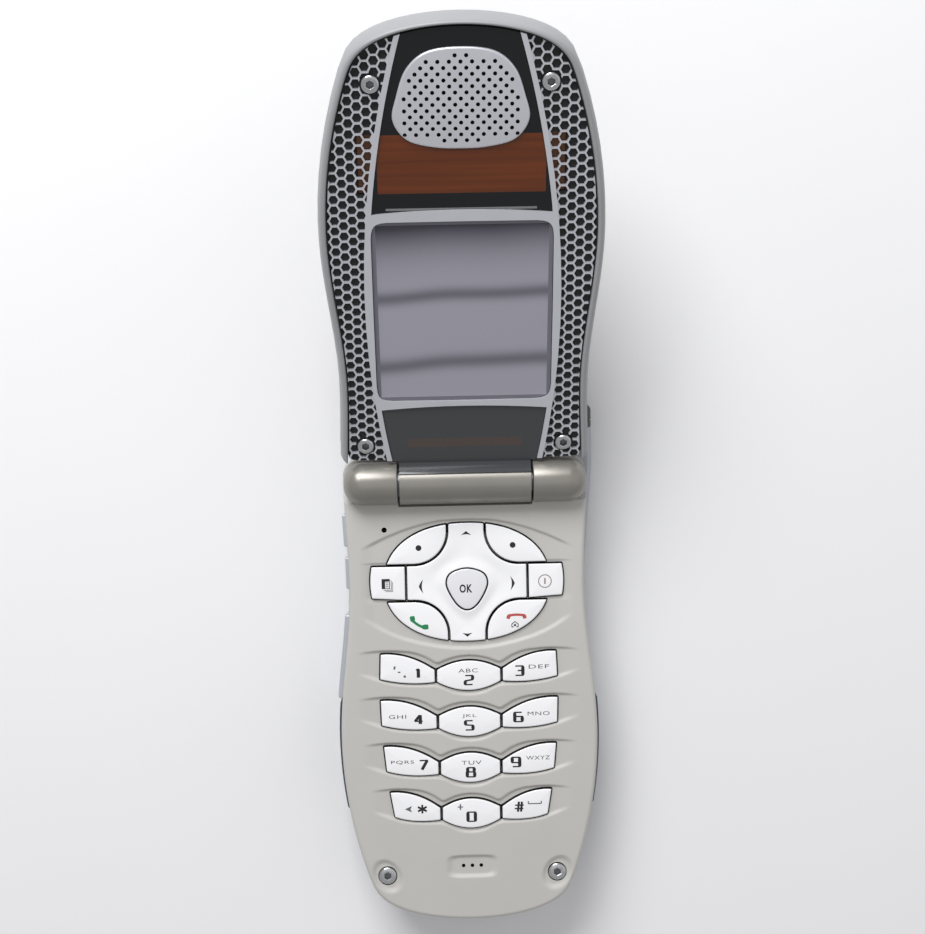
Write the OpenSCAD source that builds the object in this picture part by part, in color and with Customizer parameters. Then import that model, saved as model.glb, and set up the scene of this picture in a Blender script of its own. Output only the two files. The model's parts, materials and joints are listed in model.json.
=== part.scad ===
// Compact flip phone, lid open. The base lies on its back with the origin at the middle
// of that flat back, the hinge towards +Y and the key side up. Millimetres.
// Both halves are drawn in one local frame: X across, Y the distance from the hinge axis,
// Z towards the side with the keys or the screen.

/* [Outline] */
// Hinge axis to the far end, the same for the base and the lid
half_len = 85.2; // [83:0.1:88]
// Width beside the hinge
hinge_w = 46.6; // [46:0.1:48]
// Width of the waist
waist_w = 45.3; // [44.6:0.1:46]
// Distance of the waist from the hinge axis
waist_at = 20; // [17:0.5:23]
// Width of the belly, the widest place
belly_w = 49.8; // [49:0.1:51]
// Distance of the belly from the hinge axis
belly_at = 48.5; // [46:0.5:51]
// Radius of the sides past the belly
tail_r = 84; // [78:1:95]
// Length of the rounded far end
end_len = 9.2; // [8:0.1:10.5]
// Squareness of the rounded far end
end_power = 3.5; // [2.8:0.1:4]

/* [Base shells] */
// Height of the base
base_h = 13.8; // [13.6:0.1:15]
// Height of the seam between the two shells
seam_h = 7; // [6.8:0.1:7.2]
// Wall of both shells
wall = 1.5; // [1.3:0.1:1.7]
// Thickness of the face round the keys
face_t = 1.6; // [1.4:0.1:1.8]
// Floor of the rear shell over the battery door
floor_t = 1; // [0.8:0.1:1.2]
// How far the flank leans in at the edge of the face
flank_lean = 0.45; // [0.2:0.05:0.7]
// Rounding of the edge of the face
face_round = 0.8; // [0.5:0.1:1]
// Rounding of the edge of the back
back_round = 3; // [2:0.1:3.4]
// How far the base reaches behind the hinge axis
rear_reach = 4.6; // [4.4:0.1:5.2]
// Plan radius of the two corners behind the hinge
rear_corner = 3.5; // [2.5:0.1:4]
// Height of the shelf behind the hinge
shelf_h = 10.7; // [10.4:0.1:10.8]

/* [Hinge] */
// Height of the hinge axis over the face
axis_lift = 1.2; // [1.1:0.05:1.4]
// Radius of the hinge barrel and its end caps
barrel_r = 4; // [3.8:0.1:4.2]
// Width of the middle barrel, which turns with the lid
barrel_w = 24.4; // [22:0.2:26]
// Width over both end caps
caps_w = 45.4; // [44:0.2:46]
// Rounding of the outer ends of the caps
cap_round = 3.4; // [2.5:0.1:3.6]
// Radius of the hinge cartridge on the left
cartridge_r = 2.6; // [2.3:0.1:2.8]
// Radius of the plain pin on the right
pin_r = 2; // [1.6:0.1:2.4]
// Running clearance round the cartridge and the pin
pin_gap = 0.05; // [0.02:0.01:0.09]
// Gap at each end of the middle barrel
barrel_gap = 0.4; // [0.35:0.05:0.6]
// How far the lid opens from closed, in degrees
open_angle = 156; // [150:1:160]

/* [Keys] */
// Distance of the middle of the direction key from the hinge axis
nav_at = 19.1; // [18.8:0.1:19.4]
// Half width of the oval round the direction key
oval_a = 15.7; // [15.4:0.1:16]
// Half height of the oval round the direction key
oval_b = 11.3; // [11:0.1:11.5]
// Squareness of that oval
oval_power = 2.2; // [2:0.1:2.5]
// Half width of the top and bottom arms of the direction key
arm_x = 3.35; // [3.1:0.05:3.6]
// Half height of the left and right arms of the direction key
arm_y = 3.25; // [3:0.05:3.4]
// Reach of the left and right arms from the middle
arm_len = 11.3; // [11:0.1:11.6]
// Radius of the hollow corners between the arms
arm_round = 6.6; // [5.5:0.1:7]
// Reach of the outer edge of the two side keys from the middle
side_key_x = 18; // [17.6:0.1:18.3]
// Distance of the first row of number keys from the hinge axis
row_at = 37; // [36.8:0.1:37.4]
// Pitch of the rows of number keys
row_pitch = 8.92; // [8.8:0.02:9.1]
// Half width of the number pad at its widest
pad_half = 16.9; // [16.4:0.1:17.2]
// Distance of the widest place of the number pad from the hinge axis
pad_widest_at = 40; // [38:0.5:43]
// Radius of the outer edges of the number pad
pad_r = 130; // [115:5:160]
// Half width of the middle key of the first row
mid_key_half = 6.05; // [5.8:0.05:6.3]
// How much narrower each next middle key is, on each side
mid_key_step = 0.17; // [0.1:0.01:0.22]
// Gap between neighbouring keys
key_gap = 0.35; // [0.3:0.05:0.4]
// Gap between a key and the face round it
face_gap = 0.3; // [0.25:0.05:0.35]
// How far the keys stand above the face
key_proud = 0.2; // [0.1:0.05:0.25]
// Crown in the middle of each key
key_crown = 0.12; // [0:0.02:0.14]
// Travel of a key
key_travel = 0.35; // [0.3:0.05:0.4]
// Gap under a key to the rubber mat
key_rest_gap = 0.45; // [0.45:0.05:0.6]
// Depth of the scoops in the face round the keys
scoop_depth = 0.3; // [0.2:0.05:0.5]

/* [Flanks] */
// How far the volume keys stand out of the flank
volume_proud = 0.4; // [0.3:0.05:0.5]
// How far the talk button stands out of the flank
talk_proud = 0.55; // [0.45:0.05:0.7]
// Start of the grips from the hinge axis
grip_from = 42; // [41.5:0.5:44]
// End of the grips from the hinge axis
grip_to = 63; // [60:0.5:66]
// Depth of the grips in the flank
grip_t = 0.9; // [0.7:0.1:1.1]
// Radius of the antenna knob and its sleeve
sleeve_r = 4.2; // [3.8:0.1:4.2]
// Distance of the antenna from the middle
antenna_x = 20.6; // [20.3:0.1:20.8]
// Radius of the antenna rod
rod_r = 0.8; // [0.6:0.05:0.9]
// Running clearance round the antenna rod
rod_gap = 0.06; // [0.03:0.01:0.09]
// How far the sleeve reaches behind the hinge axis
sleeve_reach = 9.3; // [8.5:0.1:10]
// Length of the antenna knob
knob_len = 4.3; // [3.5:0.1:5]
// Length of the rod inside the base
rod_len = 34; // [31:1:36]

/* [Battery and back] */
// Width of the battery
battery_w = 32; // [30:0.5:32.5]
// Distance of the battery from the far end of the base
battery_end = 13.7; // [13.4:0.1:18]
// Height of the battery
battery_h = 4.1; // [3.8:0.1:4.2]
// Distance of the near end of the battery from the hinge axis
battery_at = 25.5; // [25:0.5:26.5]
// Thickness of the battery door
door_t = 1.4; // [1.2:0.1:1.4]
// Width of the battery door
door_w = 35; // [34.5:0.5:37]
// Distance of the near end of the door from the hinge axis
door_at = 22.5; // [22:0.5:24]
// Clearance along the edges of the door
door_gap = 0.15; // [0.1:0.05:0.25]
// Width of the charging port
port_w = 17; // [14:0.5:19]
// Height of the charging port
port_h = 2.8; // [2.4:0.1:3]

/* [Lid] */
// Thickness of the lid
lid_h = 9.4; // [9.2:0.1:10.4]
// Gap between the closed lid and the face
lid_gap = 0.6; // [0.5:0.05:0.7]
// Distance from the hinge axis to the sides of the lid
lid_start = 4.6; // [4.5:0.1:5]
// Height of the rim ring
rim_h = 2; // [1.9:0.1:2.2]
// Width of the rim at the sides
rim_side = 1.5; // [1.3:0.1:1.7]
// Width of the rim at the far end
rim_end = 1; // [0.9:0.1:1.2]
// Wall of the lid's outer shell
lid_wall = 2.2; // [2.1:0.1:2.5]
// Floor of the lid's outer shell
lid_floor = 1.3; // [1.2:0.1:1.5]
// Rounding of the outer edge of the lid
lid_round = 3; // [2:0.1:3.4]

/* [Screen frame and mesh] */
// Widest place over both rails of the frame
rails_w = 34.5; // [34:0.1:35]
// Distance of that place from the hinge axis
rails_at = 36; // [34:0.5:38]
// Width over both rails at the far end
rails_end_w = 19.9; // [19.4:0.1:22]
// Width of each rail
rail_t = 0.95; // [0.8:0.05:1.1]
// Half width of the screen
screen_a = 15.8; // [15.4:0.1:16]
// Half height of the screen
screen_b = 17.05; // [16.6:0.05:17.2]
// Distance of the middle of the screen from the hinge axis
screen_at = 34.1; // [33.8:0.1:34.4]
// Squareness of the screen
screen_power = 16; // [10:1:20]
// Height of one mesh cell, along the lid
cell_d = 1.87; // [1.8:0.01:2.1]
// Distance between columns of mesh cells
cell_x = 1.53; // [1.48:0.01:1.75]
// Width of the wires of the mesh
wire_t = 0.3; // [0.25:0.01:0.35]
// Thickness of the mesh
mesh_t = 0.6; // [0.5:0.05:0.6]
// Height of the rails above the mesh
rail_proud = 0.5; // [0.3:0.05:0.6]
// Diameter of the earpiece holes
ear_hole_d = 0.6; // [0.5:0.05:0.7]
// Pitch of the earpiece holes in one row
ear_pitch = 1.875; // [1.8:0.025:2.1]

/* [Screws] */
// Diameter of the screw heads in the lid
lid_head_d = 3; // [2.8:0.1:3.2]
// Diameter of the screw heads in the base
base_head_d = 3.3; // [3:0.1:3.5]
// Diameter of the screw shanks
shank_d = 1.5; // [1.2:0.1:1.6]

/* [Hidden] */

$fn = 48;
eps = 0.01;

hinge_y = half_len / 2;
axis_h = base_h + axis_lift;
end_at = half_len - end_len;
face_n = axis_lift - lid_gap;
rim_n = face_n - rim_h;
lid_back_n = face_n - lid_h;
tray_t = 0.6;
mesh_n = rim_n + tray_t;
mesh_top_n = mesh_n + mesh_t;
rail_top_n = mesh_top_n + rail_proud;
fit = 0.1;
battery_len = half_len - battery_at - battery_end;

// ---- curves ----

// Half width of both halves at a distance from the hinge axis.
function ease(t) = t * t * (3 - 2 * t);
function side(d) =
    d <= 0 ? hinge_w / 2 :
    d < waist_at ? hinge_w / 2 + (waist_w - hinge_w) / 2 * ease(d / waist_at) :
    d < belly_at ? waist_w / 2
        + (belly_w - waist_w) / 2 * ease((d - waist_at) / (belly_at - waist_at)) :
    belly_w / 2 - tail_r + sqrt(tail_r * tail_r - (d - belly_at) * (d - belly_at));

// The outline from a start past the hinge round the far end and back, drawn in by
// in_side at the sides and in_end at the far end.
function outline(start, corner, in_side = 0, in_end = 0) =
    let (
        w = side(start + corner) - in_side,
        last = end_at - in_end,
        first = start + corner,
        steps = ceil((last - first) / 4.5),
        right = concat(
            [for (a = [0 : 30 : 60])
                [w - corner * (1 - sin(a)), start + corner * (1 - cos(a))]],
            [for (i = [0 : steps - 1])
                let (d = first + (last - first) * i / steps) [side(d) - in_side, d]],
            [for (a = [0 : 9 : 81])
                let (d = last + end_len * pow(sin(a), 2 / end_power))
                    [(side(d) - in_side) * cos(a), d]]
        )
    )
    concat(right, [[0, last + end_len]], mirrored(right));

function mirrored(p) = [for (i = [len(p) - 1 : -1 : 0]) [-p[i].x, p[i].y]];

// A curve from a to c that passes through b.
function bow(a, b, c, steps = 6) =
    [for (i = [0 : steps]) let (t = i / steps)
        a * (1 - t) * (1 - 2 * t) + b * 4 * t * (1 - t) + c * t * (2 * t - 1)];

// A closed smooth curve through the given points.
function smooth(p, steps = 3) =
    let (n = len(p))
    [for (i = [0 : n - 1], j = [0 : steps - 1])
        let (
            t = j / steps,
            a = p[(i + n - 1) % n], b = p[i], c = p[(i + 1) % n], d = p[(i + 2) % n]
        )
        b + (c - a) * t / 2 + (2 * a - 5 * b + 4 * c - d) * t * t / 2
            + (3 * b - a - 3 * c + d) * t * t * t / 2];

// A point of a superellipse in the first quarter, and the whole closed curve.
function oval_point(a, b, power, angle) =
    [a * pow(cos(angle), 2 / power), b * pow(sin(angle), 2 / power)];
function quarter(a, b, power, steps) =
    [for (i = [0 : steps - 1]) oval_point(a, b, power, 90 * i / steps)];
function turned(p) = [for (q = p) [-q.y, q.x]];
function oval(a, b, power, steps = 10) =
    concat(
        quarter(a, b, power, steps),
        turned(quarter(b, a, power, steps)),
        turned(turned(quarter(a, b, power, steps))),
        turned(turned(turned(quarter(b, a, power, steps))))
    );

// A closed curve grown outwards by a distance, or drawn in when it is negative.
function edge_normal(a, b) = [b.y - a.y, a.x - b.x] / norm(b - a);
function grow(p, by) =
    let (n = len(p))
    [for (i = [0 : n - 1])
        let (
            before = edge_normal(p[(i + n - 1) % n], p[i]),
            after = edge_normal(p[i], p[(i + 1) % n])
        )
        p[i] + by * (before + after) / (1 + before * after)];

function moved(p, by) = [for (q = p) q + by];

// Flipped left to right or end to end, kept counter-clockwise.
function flipped(p, sx, sy) =
    let (q = [for (v = p) [v.x * sx, v.y * sy]], n = len(q))
    sx * sy > 0 ? q : [for (i = [n - 1 : -1 : 0]) q[i]];

// ---- solids ----

// A solid through copies of one closed curve, each level a height and a growth. A crown
// raises the middle of the top.
module loft(p, levels, crown = 0) {
    n = len(p);
    m = len(levels);
    hub = [for (k = [0, 1]) (max([for (q = p) q[k]]) + min([for (q = p) q[k]])) / 2];
    rings = [for (level = levels, q = grow(p, level[1])) [q.x, q.y, level[0]]];
    points = concat(rings, crown > 0 ? [[hub.x, hub.y, levels[m - 1][0] + crown]] : []);
    top = n * (m - 1);
    faces = concat(
        [[for (i = [0 : n - 1]) i]],
        crown > 0
            ? [for (i = [0 : n - 1]) [n * m, top + (i + 1) % n, top + i]]
            : [[for (i = [n - 1 : -1 : 0]) top + i]],
        [for (k = [0 : m - 2], i = [0 : n - 1])
            [n * k + i, n * (k + 1) + i, n * (k + 1) + (i + 1) % n, n * k + (i + 1) % n]]
    );
    polyhedron(points, faces, convexity = 6);
}

// Levels of a quarter round under a height: the foot stands at z and curves in by r.
function round_foot(z, r) = [for (a = [90 : -30 : 0]) [z + r * (1 - sin(a)), r * (cos(a) - 1)]];

module slab(p, from, to) {
    translate([0, 0, from]) linear_extrude(to - from) polygon(p);
}

module along_x(from, to, r) {
    translate([from, 0, 0]) rotate([0, 90, 0]) cylinder(h = to - from, r = r);
}

module post(at, from, to, r) {
    translate([at.x, at.y, from]) cylinder(h = to - from, r = r);
}

// Local frames: distances from the hinge axis run along +Y in both.
module on_base() {
    translate([0, hinge_y, 0]) mirror([0, 1, 0]) children();
}

module on_axis() {
    translate([0, hinge_y, axis_h]) children();
}

module on_lid() {
    on_axis() rotate([180 - open_angle, 0, 0]) children();
}

// ---- base shells ----

saddle_gap = 0.05;
trough_gap = 0.75;
lip_t = 0.25;
screw_at = [16.3, half_len - 9.4];
base_curve = outline(-rear_reach, rear_corner);
cavity_start = 6.8;
cavity_corner = 3.4;
ceiling = base_h - face_t;

function inside(by) = grow(outline(cavity_start, cavity_corner), -by);

// Cut flat at two heights.
module between(from, to) {
    intersection() {
        children();
        translate([-belly_w, -2 * rear_reach, from]) cube([2 * belly_w, 2 * half_len, to - from]);
    }
}

// Each shell's form runs on past its two planes before it is cut.
module face_outer() {
    between(seam_h, base_h) loft(base_curve, [
        [seam_h - 1, 0],
        [seam_h, 0],
        [base_h - face_round, -flank_lean],
        [base_h - face_round * 0.35, -flank_lean - face_round * 0.3],
        [base_h, -flank_lean - face_round],
        [base_h + 0.5, -flank_lean - face_round * 2]
    ]);
}

module back_outer() {
    between(0, seam_h) loft(base_curve,
        concat([[-1, -back_round]], round_foot(0, back_round), [[seam_h + 1, 0]]));
}

// The cradle of the hinge: a close saddle under each cap, a trough for the barrel.
module hinge_cut() {
    along_x(-hinge_w, hinge_w, barrel_r + saddle_gap);
    along_x(-barrel_w / 2 - barrel_gap, barrel_w / 2 + barrel_gap, barrel_r + trough_gap);
}

// Number keys: three to a row, named by row and column.
function row_centre(row) = row_at + row * row_pitch;
function pad_edge(d) = pad_half - (d - pad_widest_at) * (d - pad_widest_at) / (2 * pad_r);
function mid_half(row) = mid_key_half - mid_key_step * row;

key_lens = 2.9;
key_lens_side = 1.2;
outer_key_top = 4.4;
outer_key_shoulder = 3.8;
outer_key_foot = 0.45;
outer_key_sag = 1.33;

// The middle key's two curves run from -h to h and back, all about the row's centre.
function mid_top(row) =
    let (h = mid_half(row)) bow([-h, -key_lens_side], [0, -key_lens], [h, -key_lens_side], 7);
function mid_foot(row) =
    let (h = mid_half(row)) bow([h, key_lens_side], [0, key_lens], [-h, key_lens_side], 7);

function mid_key(row) = moved(concat(mid_top(row), mid_foot(row)), [0, row_centre(row)]);

// The right key's curves: its top from the inner corner out, its foot back in.
function right_key(row) =
    let (
        at = row_centre(row),
        inner = mid_half(row) + key_gap,
        top = pad_edge(at - outer_key_top),
        foot = pad_edge(at + outer_key_foot),
        shoulder = (inner + top) / 2
    )
    concat(
        bow([inner, -key_lens_side], [shoulder, -outer_key_shoulder], [top, -outer_key_top], 7),
        bow([foot, outer_key_foot], [shoulder, outer_key_sag], [inner, key_lens_side], 5)
    );

function outer_key(row, hand) = flipped_x(moved(right_key(row), [0, row_centre(row)]), hand);

function flipped_x(p, hand) = flipped(p, hand, 1);

// One opening takes the three keys of a row, with a cusp where two of them meet.
function row_opening(row) =
    let (
        cusp = mid_half(row) + key_gap / 2,
        right = concat([[cusp, -key_lens_side]], tail(untailed(right_key(row))),
            [[cusp, key_lens_side]]),
        whole = concat(right, tail(untailed(mid_foot(row))), flipped(right, -1, 1),
            tail(untailed(mid_top(row))))
    )
    moved(whole, [0, row_centre(row)]);
function number_key(row, column) = column == 0 ? mid_key(row) : outer_key(row, column);

// Direction cluster, in quarters about its middle.
corner_x = arm_x + key_gap;
corner_y = arm_y + key_gap;
corner_round = arm_round - key_gap;
side_key_foot = 0.4;
side_key_bulge = 0.3;

function oval_at_y(y) = asin(pow(y / oval_b, oval_power / 2));
function oval_at_x(x) = acos(pow(x / oval_a, oval_power / 2));
function oval_run(from, to, steps) =
    [for (i = [0 : steps]) oval_point(oval_a, oval_b, oval_power, from + (to - from) * i / steps)];

function corner_key(sx, sy) =
    moved(flipped(concat(
        [for (a = [180 : 18 : 270])
            [corner_x + corner_round + corner_round * cos(a),
             corner_y + corner_round + corner_round * sin(a)]],
        oval_run(oval_at_y(corner_y), oval_at_x(corner_x), 8)
    ), sx, sy), [0, nav_at]);

function nav_quarter() = concat(
    [[arm_len, arm_y]],
    [for (a = [270 : -18 : 180])
        [arm_x + arm_round + arm_round * cos(a), arm_y + arm_round + arm_round * sin(a)]],
    oval_run(oval_at_x(arm_x), 90, 2)
);
function nav_outline() =
    let (q = nav_quarter(), top = concat(q, tail(flipped(q, -1, 1))))
    moved(concat(top, flipped(top, 1, -1)), [0, nav_at]);
function tail(p) = [for (i = [1 : len(p) - 1]) p[i]];

ok_points = [[0, -2.6], [2.95, -1.75], [3.85, 0], [3.25, 2.05], [1.7, 4.4], [0, 5.25],
             [-1.7, 4.4], [-3.25, 2.05], [-3.85, 0], [-2.95, -1.75]];
ok_outline = moved(smooth(ok_points), [0, nav_at]);

function side_key(hand) =
    let (x = arm_len + key_gap, foot = arm_y - side_key_foot)
    moved(flipped_x(concat(
        [[x, -arm_y]],
        bow([side_key_x, -arm_y], [side_key_x + side_key_bulge, -0.2], [side_key_x, foot], 4),
        [[x, arm_y]]
    ), hand), [0, nav_at]);

// Every opening in the face: one for each row of keys and those of the cluster. They are
// deep enough for a key pressed down.
module key_openings() {
    for (row = [0 : 3]) key_opening(row_opening(row));
    for (sx = [-1, 1], sy = [-1, 1]) key_opening(corner_key(sx, sy));
    for (hand = [-1, 1]) key_opening(side_key(hand));
    key_opening(nav_outline());
}

module key_opening(p) {
    slab(grow(p, face_gap), key_foot - key_travel - fit, base_h + 1);
}

// A shallow scoop in the face.
module scoop(p) { slab(p, base_h - scoop_depth, base_h + 1); }

wing = 4;
function row_scoop(row) =
    let (
        at = row_centre(row),
        tip = pad_edge(at) + wing,
        dip = mid_half(row),
        half = concat(
            bow([0, at - key_lens - 1.1], [dip / 2, at - key_lens - 0.75],
                [dip, at - key_lens_side - 1.4], 3),
            bow([dip + 1.5, at - outer_key_shoulder - 0.2], [dip + 5, at - outer_key_top - 0.75],
                [tip, at - outer_key_top - 0.4], 4),
            bow([tip + 0.8, at - 0.4], [dip + 6.5, at + outer_key_sag + 0.8],
                [dip + 0.5, at + key_lens_side + 1.1], 4),
            [[dip * 0.45, at + key_lens + 0.6], [0, at + key_lens + 1.1]]
        )
    )
    concat(half, tail(untailed(flipped(half, -1, 1))));
function untailed(p) = [for (i = [0 : len(p) - 2]) p[i]];

function cluster_scoop() =
    moved(concat(
        bow([-19.8, -6.9], [0, -12.4], [19.8, -6.9], 12),
        bow([19.8, 6.8], [0, 12.9], [-19.8, 6.8], 12)
    ), [0, nav_at]);

mic_shift = 1.75;
mic_at = [0, (row_centre(3) + key_lens + half_len) / 2 - mic_shift];
mic_pitch = 1.7;
mic_curve = moved(oval(5.1, 2.2, 5, 5), mic_at);

// Volume keys and the talk button on the left flank, the grips on both.
volume_up_at = [6.2, 12.3];
volume_down_at = [14.4, 20.4];
talk_at = [25.4, 41.4];
flank_key_h = [8.3, 10.9];
talk_key_h = [8.1, 11.3];
flank_key_depth = 1.2;
flank_gap = 0.2;
grip_h = [3.6, 11.4];

function flank_strip(d, out, depth) =
    let (steps = ceil((d[1] - d[0]) / 3))
    concat(
        [for (i = [0 : steps]) let (y = d[0] + (d[1] - d[0]) * i / steps) [side(y) + out, y]],
        [for (i = [steps : -1 : 0]) let (y = d[0] + (d[1] - d[0]) * i / steps)
            [side(y) - depth, y]]
    );

module flank_slot(d, h) {
    slab(flipped(flank_strip([d[0] - flank_gap, d[1] + flank_gap], 2,
        wall + flank_lean + 0.5), -1, 1), h[0] - flank_gap, h[1] + flank_gap);
}

module grip_seats() {
    for (hand = [-1, 1])
        slab(flipped(flank_strip([grip_from, grip_to], 2, grip_t), hand, 1), grip_h[0], grip_h[1]);
}

boss_r = 2.3;
light_hole_at = [-15.4, 8.9];

module front_housing() {
    color("#b9b7b0")
    difference() {
        union() {
            difference() {
                on_base() face_outer();
                on_base() slab(inside(wall + flank_lean), seam_h - 1, ceiling);
            }
            on_base() for (x = [-1, 1])
                post([x * screw_at.x, screw_at.y], seam_h, ceiling + eps, boss_r);
        }
        on_axis() hinge_cut();
        translate([-hinge_w, hinge_y, shelf_h]) cube([2 * hinge_w, rear_reach + 1, base_h]);
        on_base() {
            key_openings();
            for (row = [0 : 3]) scoop(row_scoop(row));
            scoop(cluster_scoop());
            scoop(mic_curve);
            for (i = [-1 : 1])
                post(mic_at + [i * mic_pitch, 0], ceiling - 1, base_h + 1, 0.32);
            post(light_hole_at, ceiling - 1, base_h + 1, 0.45);
            for (x = [-1, 1]) {
                post([x * screw_at.x, screw_at.y], base_h - head_sink, base_h + 1,
                    base_head_d / 2 + 0.25);
                post([x * screw_at.x, screw_at.y], seam_h - 1, base_h, shank_d / 2 + 0.05);
            }
            flank_slot(volume_up_at, flank_key_h);
            flank_slot(volume_down_at, flank_key_h);
            flank_slot(talk_at, talk_key_h);
            grip_seats();
        }
    }
}

head_sink = 1.1;
floor_h = door_t + fit + floor_t;
bay_gap = 0.3;
deck_t = 1;
bay_wall = 1.2;
bay_top = seam_h - deck_t;
bay_len = battery_len + 2 * bay_gap;
bay_w = battery_w + 2 * bay_gap;
guide_half = 1.7;
guide_end = rod_len - sleeve_reach + 2;
antenna_h = sleeve_r + 0.1;
cone_foot_r = 2.6;
cone_start = -2;
cone_end = 16;
speaker_at = [-7, 15];
speaker_r = 6;
speaker_h = 3.4;
board_h = 8.8;
standoff_at = [[12, 30], [12, half_len - 23.2]];

module bay(extra, from, to) {
    translate([-bay_w / 2 - extra, battery_at - bay_gap - extra, from])
        cube([bay_w + 2 * extra, bay_len + 2 * extra, to - from]);
}

module door_plan(gap) {
    translate([-door_w / 2 - gap, door_at - gap]) square([door_w + 2 * gap, half_len]);
}

// The sleeve runs back past the hinge and tapers forward into the right flank.
module sleeve() {
    translate([antenna_x, 0, antenna_h]) rotate([-90, 0, 0]) rotate_extrude()
        polygon([[0, -sleeve_reach], [sleeve_r, -sleeve_reach], [sleeve_r, cone_start],
                 [cone_foot_r, cone_end], [0, cone_end]]);
}

module rear_housing() {
    color("#a9adb2")
    difference() {
        union() {
            difference() {
                on_base() back_outer();
                on_base() difference() {
                    slab(inside(wall), floor_h, seam_h + 1);
                    bay(bay_wall, 0, seam_h);
                    translate([antenna_x - guide_half, 0, 0])
                        cube([2 * guide_half + 2, guide_end + wall, seam_h]);
                    for (x = [-1, 1])
                        post([x * screw_at.x, screw_at.y], 0, seam_h, boss_r);
                }
            }
            on_base() for (at = standoff_at, x = [-1, 1])
                post([x * at.x, at.y], seam_h - eps, board_h, 1.5);
            on_base() intersection() {
                sleeve();
                union() {
                    translate([0, -sleeve_reach, 0]) cube([2 * antenna_x, half_len, seam_h]);
                    translate([0, -sleeve_reach, 0])
                        cube([2 * antenna_x, sleeve_reach - rear_reach - fit, base_h]);
                }
            }
        }
        on_base() {
            bay(0, -1, bay_top);
            translate([0, 0, -1]) linear_extrude(door_t + fit + 1) door_plan(door_gap);
            translate([antenna_x, -sleeve_reach - 1, antenna_h]) rotate([-90, 0, 0])
                cylinder(h = guide_end + sleeve_reach, r = rod_r + rod_gap);
            for (x = [-1, 1])
                post([x * screw_at.x, screw_at.y], floor_h + 0.3, seam_h + 1, shank_d / 2 + 0.05);
            for (i = [-2 : 2])
                translate([speaker_at.x - 4, speaker_at.y + i * 1.8 - 0.4, -1])
                    cube([8, 0.8, floor_h + 2]);
            translate([-port_w / 2 - fit, port_back - fit, port_floor - fit])
                cube([port_w + 2 * fit, half_len, port_h + 2 * fit]);
            grip_seats();
        }
    }
}

// ---- hinge ----

cap_len = (caps_w - barrel_w) / 2 - barrel_gap;
cartridge_x = [-caps_w / 2 + 1.6, -5];
pin_x = [7, caps_w / 2 - 1.6];

module hinge_cap(r) {
    rotate([0, 90, 0])
    difference() {
        rotate_extrude() {
            square([barrel_r, cap_len - cap_round]);
            square([barrel_r - cap_round, cap_len]);
            intersection() {
                translate([barrel_r - cap_round, cap_len - cap_round]) circle(cap_round);
                square([barrel_r, cap_len]);
            }
        }
        translate([0, 0, -1]) cylinder(h = cap_len, r = r + pin_gap);
    }
}

module hinge_cap_left() {
    color("#8d8a84")
    on_axis() mirror([1, 0, 0]) translate([barrel_w / 2 + barrel_gap, 0, 0]) hinge_cap(cartridge_r);
}

module hinge_cap_right() {
    color("#8d8a84")
    on_axis() translate([barrel_w / 2 + barrel_gap, 0, 0]) hinge_cap(pin_r);
}

module hinge_cartridge() {
    color("#c7c9cc") on_axis() along_x(cartridge_x[0], cartridge_x[1], cartridge_r);
}

module hinge_pin() {
    color("#c7c9cc") on_axis() along_x(pin_x[0], pin_x[1], pin_r);
}

// ---- inside the base ----

board_t = 1;
mat_t = 0.5;
key_skirt = 0.75;
key_foot = ceiling - key_skirt;
mat_h = key_foot - key_rest_gap - mat_t;

module main_board() {
    color("#1f6b45")
    on_base() intersection() {
        slab(inside(wall + flank_lean + 0.6), board_h, board_h + board_t);
        translate([-belly_w / 2, 0, board_h])
            cube([belly_w, screw_at.y - boss_r - 0.4, board_t]);
    }
}

function key_centres() = concat(
    [for (row = [0 : 3], column = [-1 : 1])
        [column * (mid_half(row) + pad_edge(row_centre(row))) / 2, row_centre(row)]],
    [for (sx = [-1, 1], sy = [-1, 1]) [sx * 8.5, nav_at + sy * 7]],
    [for (sx = [-1, 1]) [sx * (arm_len + side_key_x) / 2, nav_at]],
    [for (sx = [-1, 1]) [sx * 8, nav_at]],
    [for (sy = [-1, 1]) [0, nav_at + sy * 8.5]],
    [[0, nav_at]]
);

// Rubber mat with one plunger over each dome of the board.
module keypad_mat() {
    color("#e4e2dc")
    on_base() {
        intersection() {
            slab(inside(wall + flank_lean + 1.2), mat_h, mat_h + mat_t);
            translate([-belly_w / 2, 0, mat_h]) cube([belly_w, screw_at.y - boss_r - 2, mat_t]);
        }
        for (at = key_centres()) post(at, board_h + board_t, mat_h + eps, 1.1);
    }
}

module battery() {
    color("#3a3d40")
    on_base() translate([-battery_w / 2, battery_at, bay_top - 0.2 - battery_h])
        cube([battery_w, battery_len, battery_h]);
}

door_grip_w = 14;

module battery_door() {
    color("#a9adb2")
    difference() {
        intersection() {
            on_base() back_outer();
            on_base() linear_extrude(door_t) door_plan(0);
        }
        on_base() for (i = [0 : 3])
            translate([-door_grip_w / 2, half_len - 19.2 + i * 2.2, -1])
                cube([door_grip_w, 0.9, 1.35]);
    }
}

module microphone() {
    color("#202224") on_base() post(mic_at, ceiling - 1.4, ceiling, 2.4);
}

module loudspeaker() {
    color("#26282a") on_base() post(speaker_at, floor_h, floor_h + speaker_h, speaker_r);
}

module vibration_motor() {
    color("#c7c9cc")
    on_base() translate([4, speaker_at.y, floor_h + 2]) {
        along_x(0, 8, 2);
        along_x(8.2, 11, 1.6);
        along_x(7.9, 8.3, 0.5);
    }
}

port_floor = 3.1;
port_depth = 6.4;
port_recess = 0.9;
port_back = half_len - port_depth;
port_face = half_len - port_recess;

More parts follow.
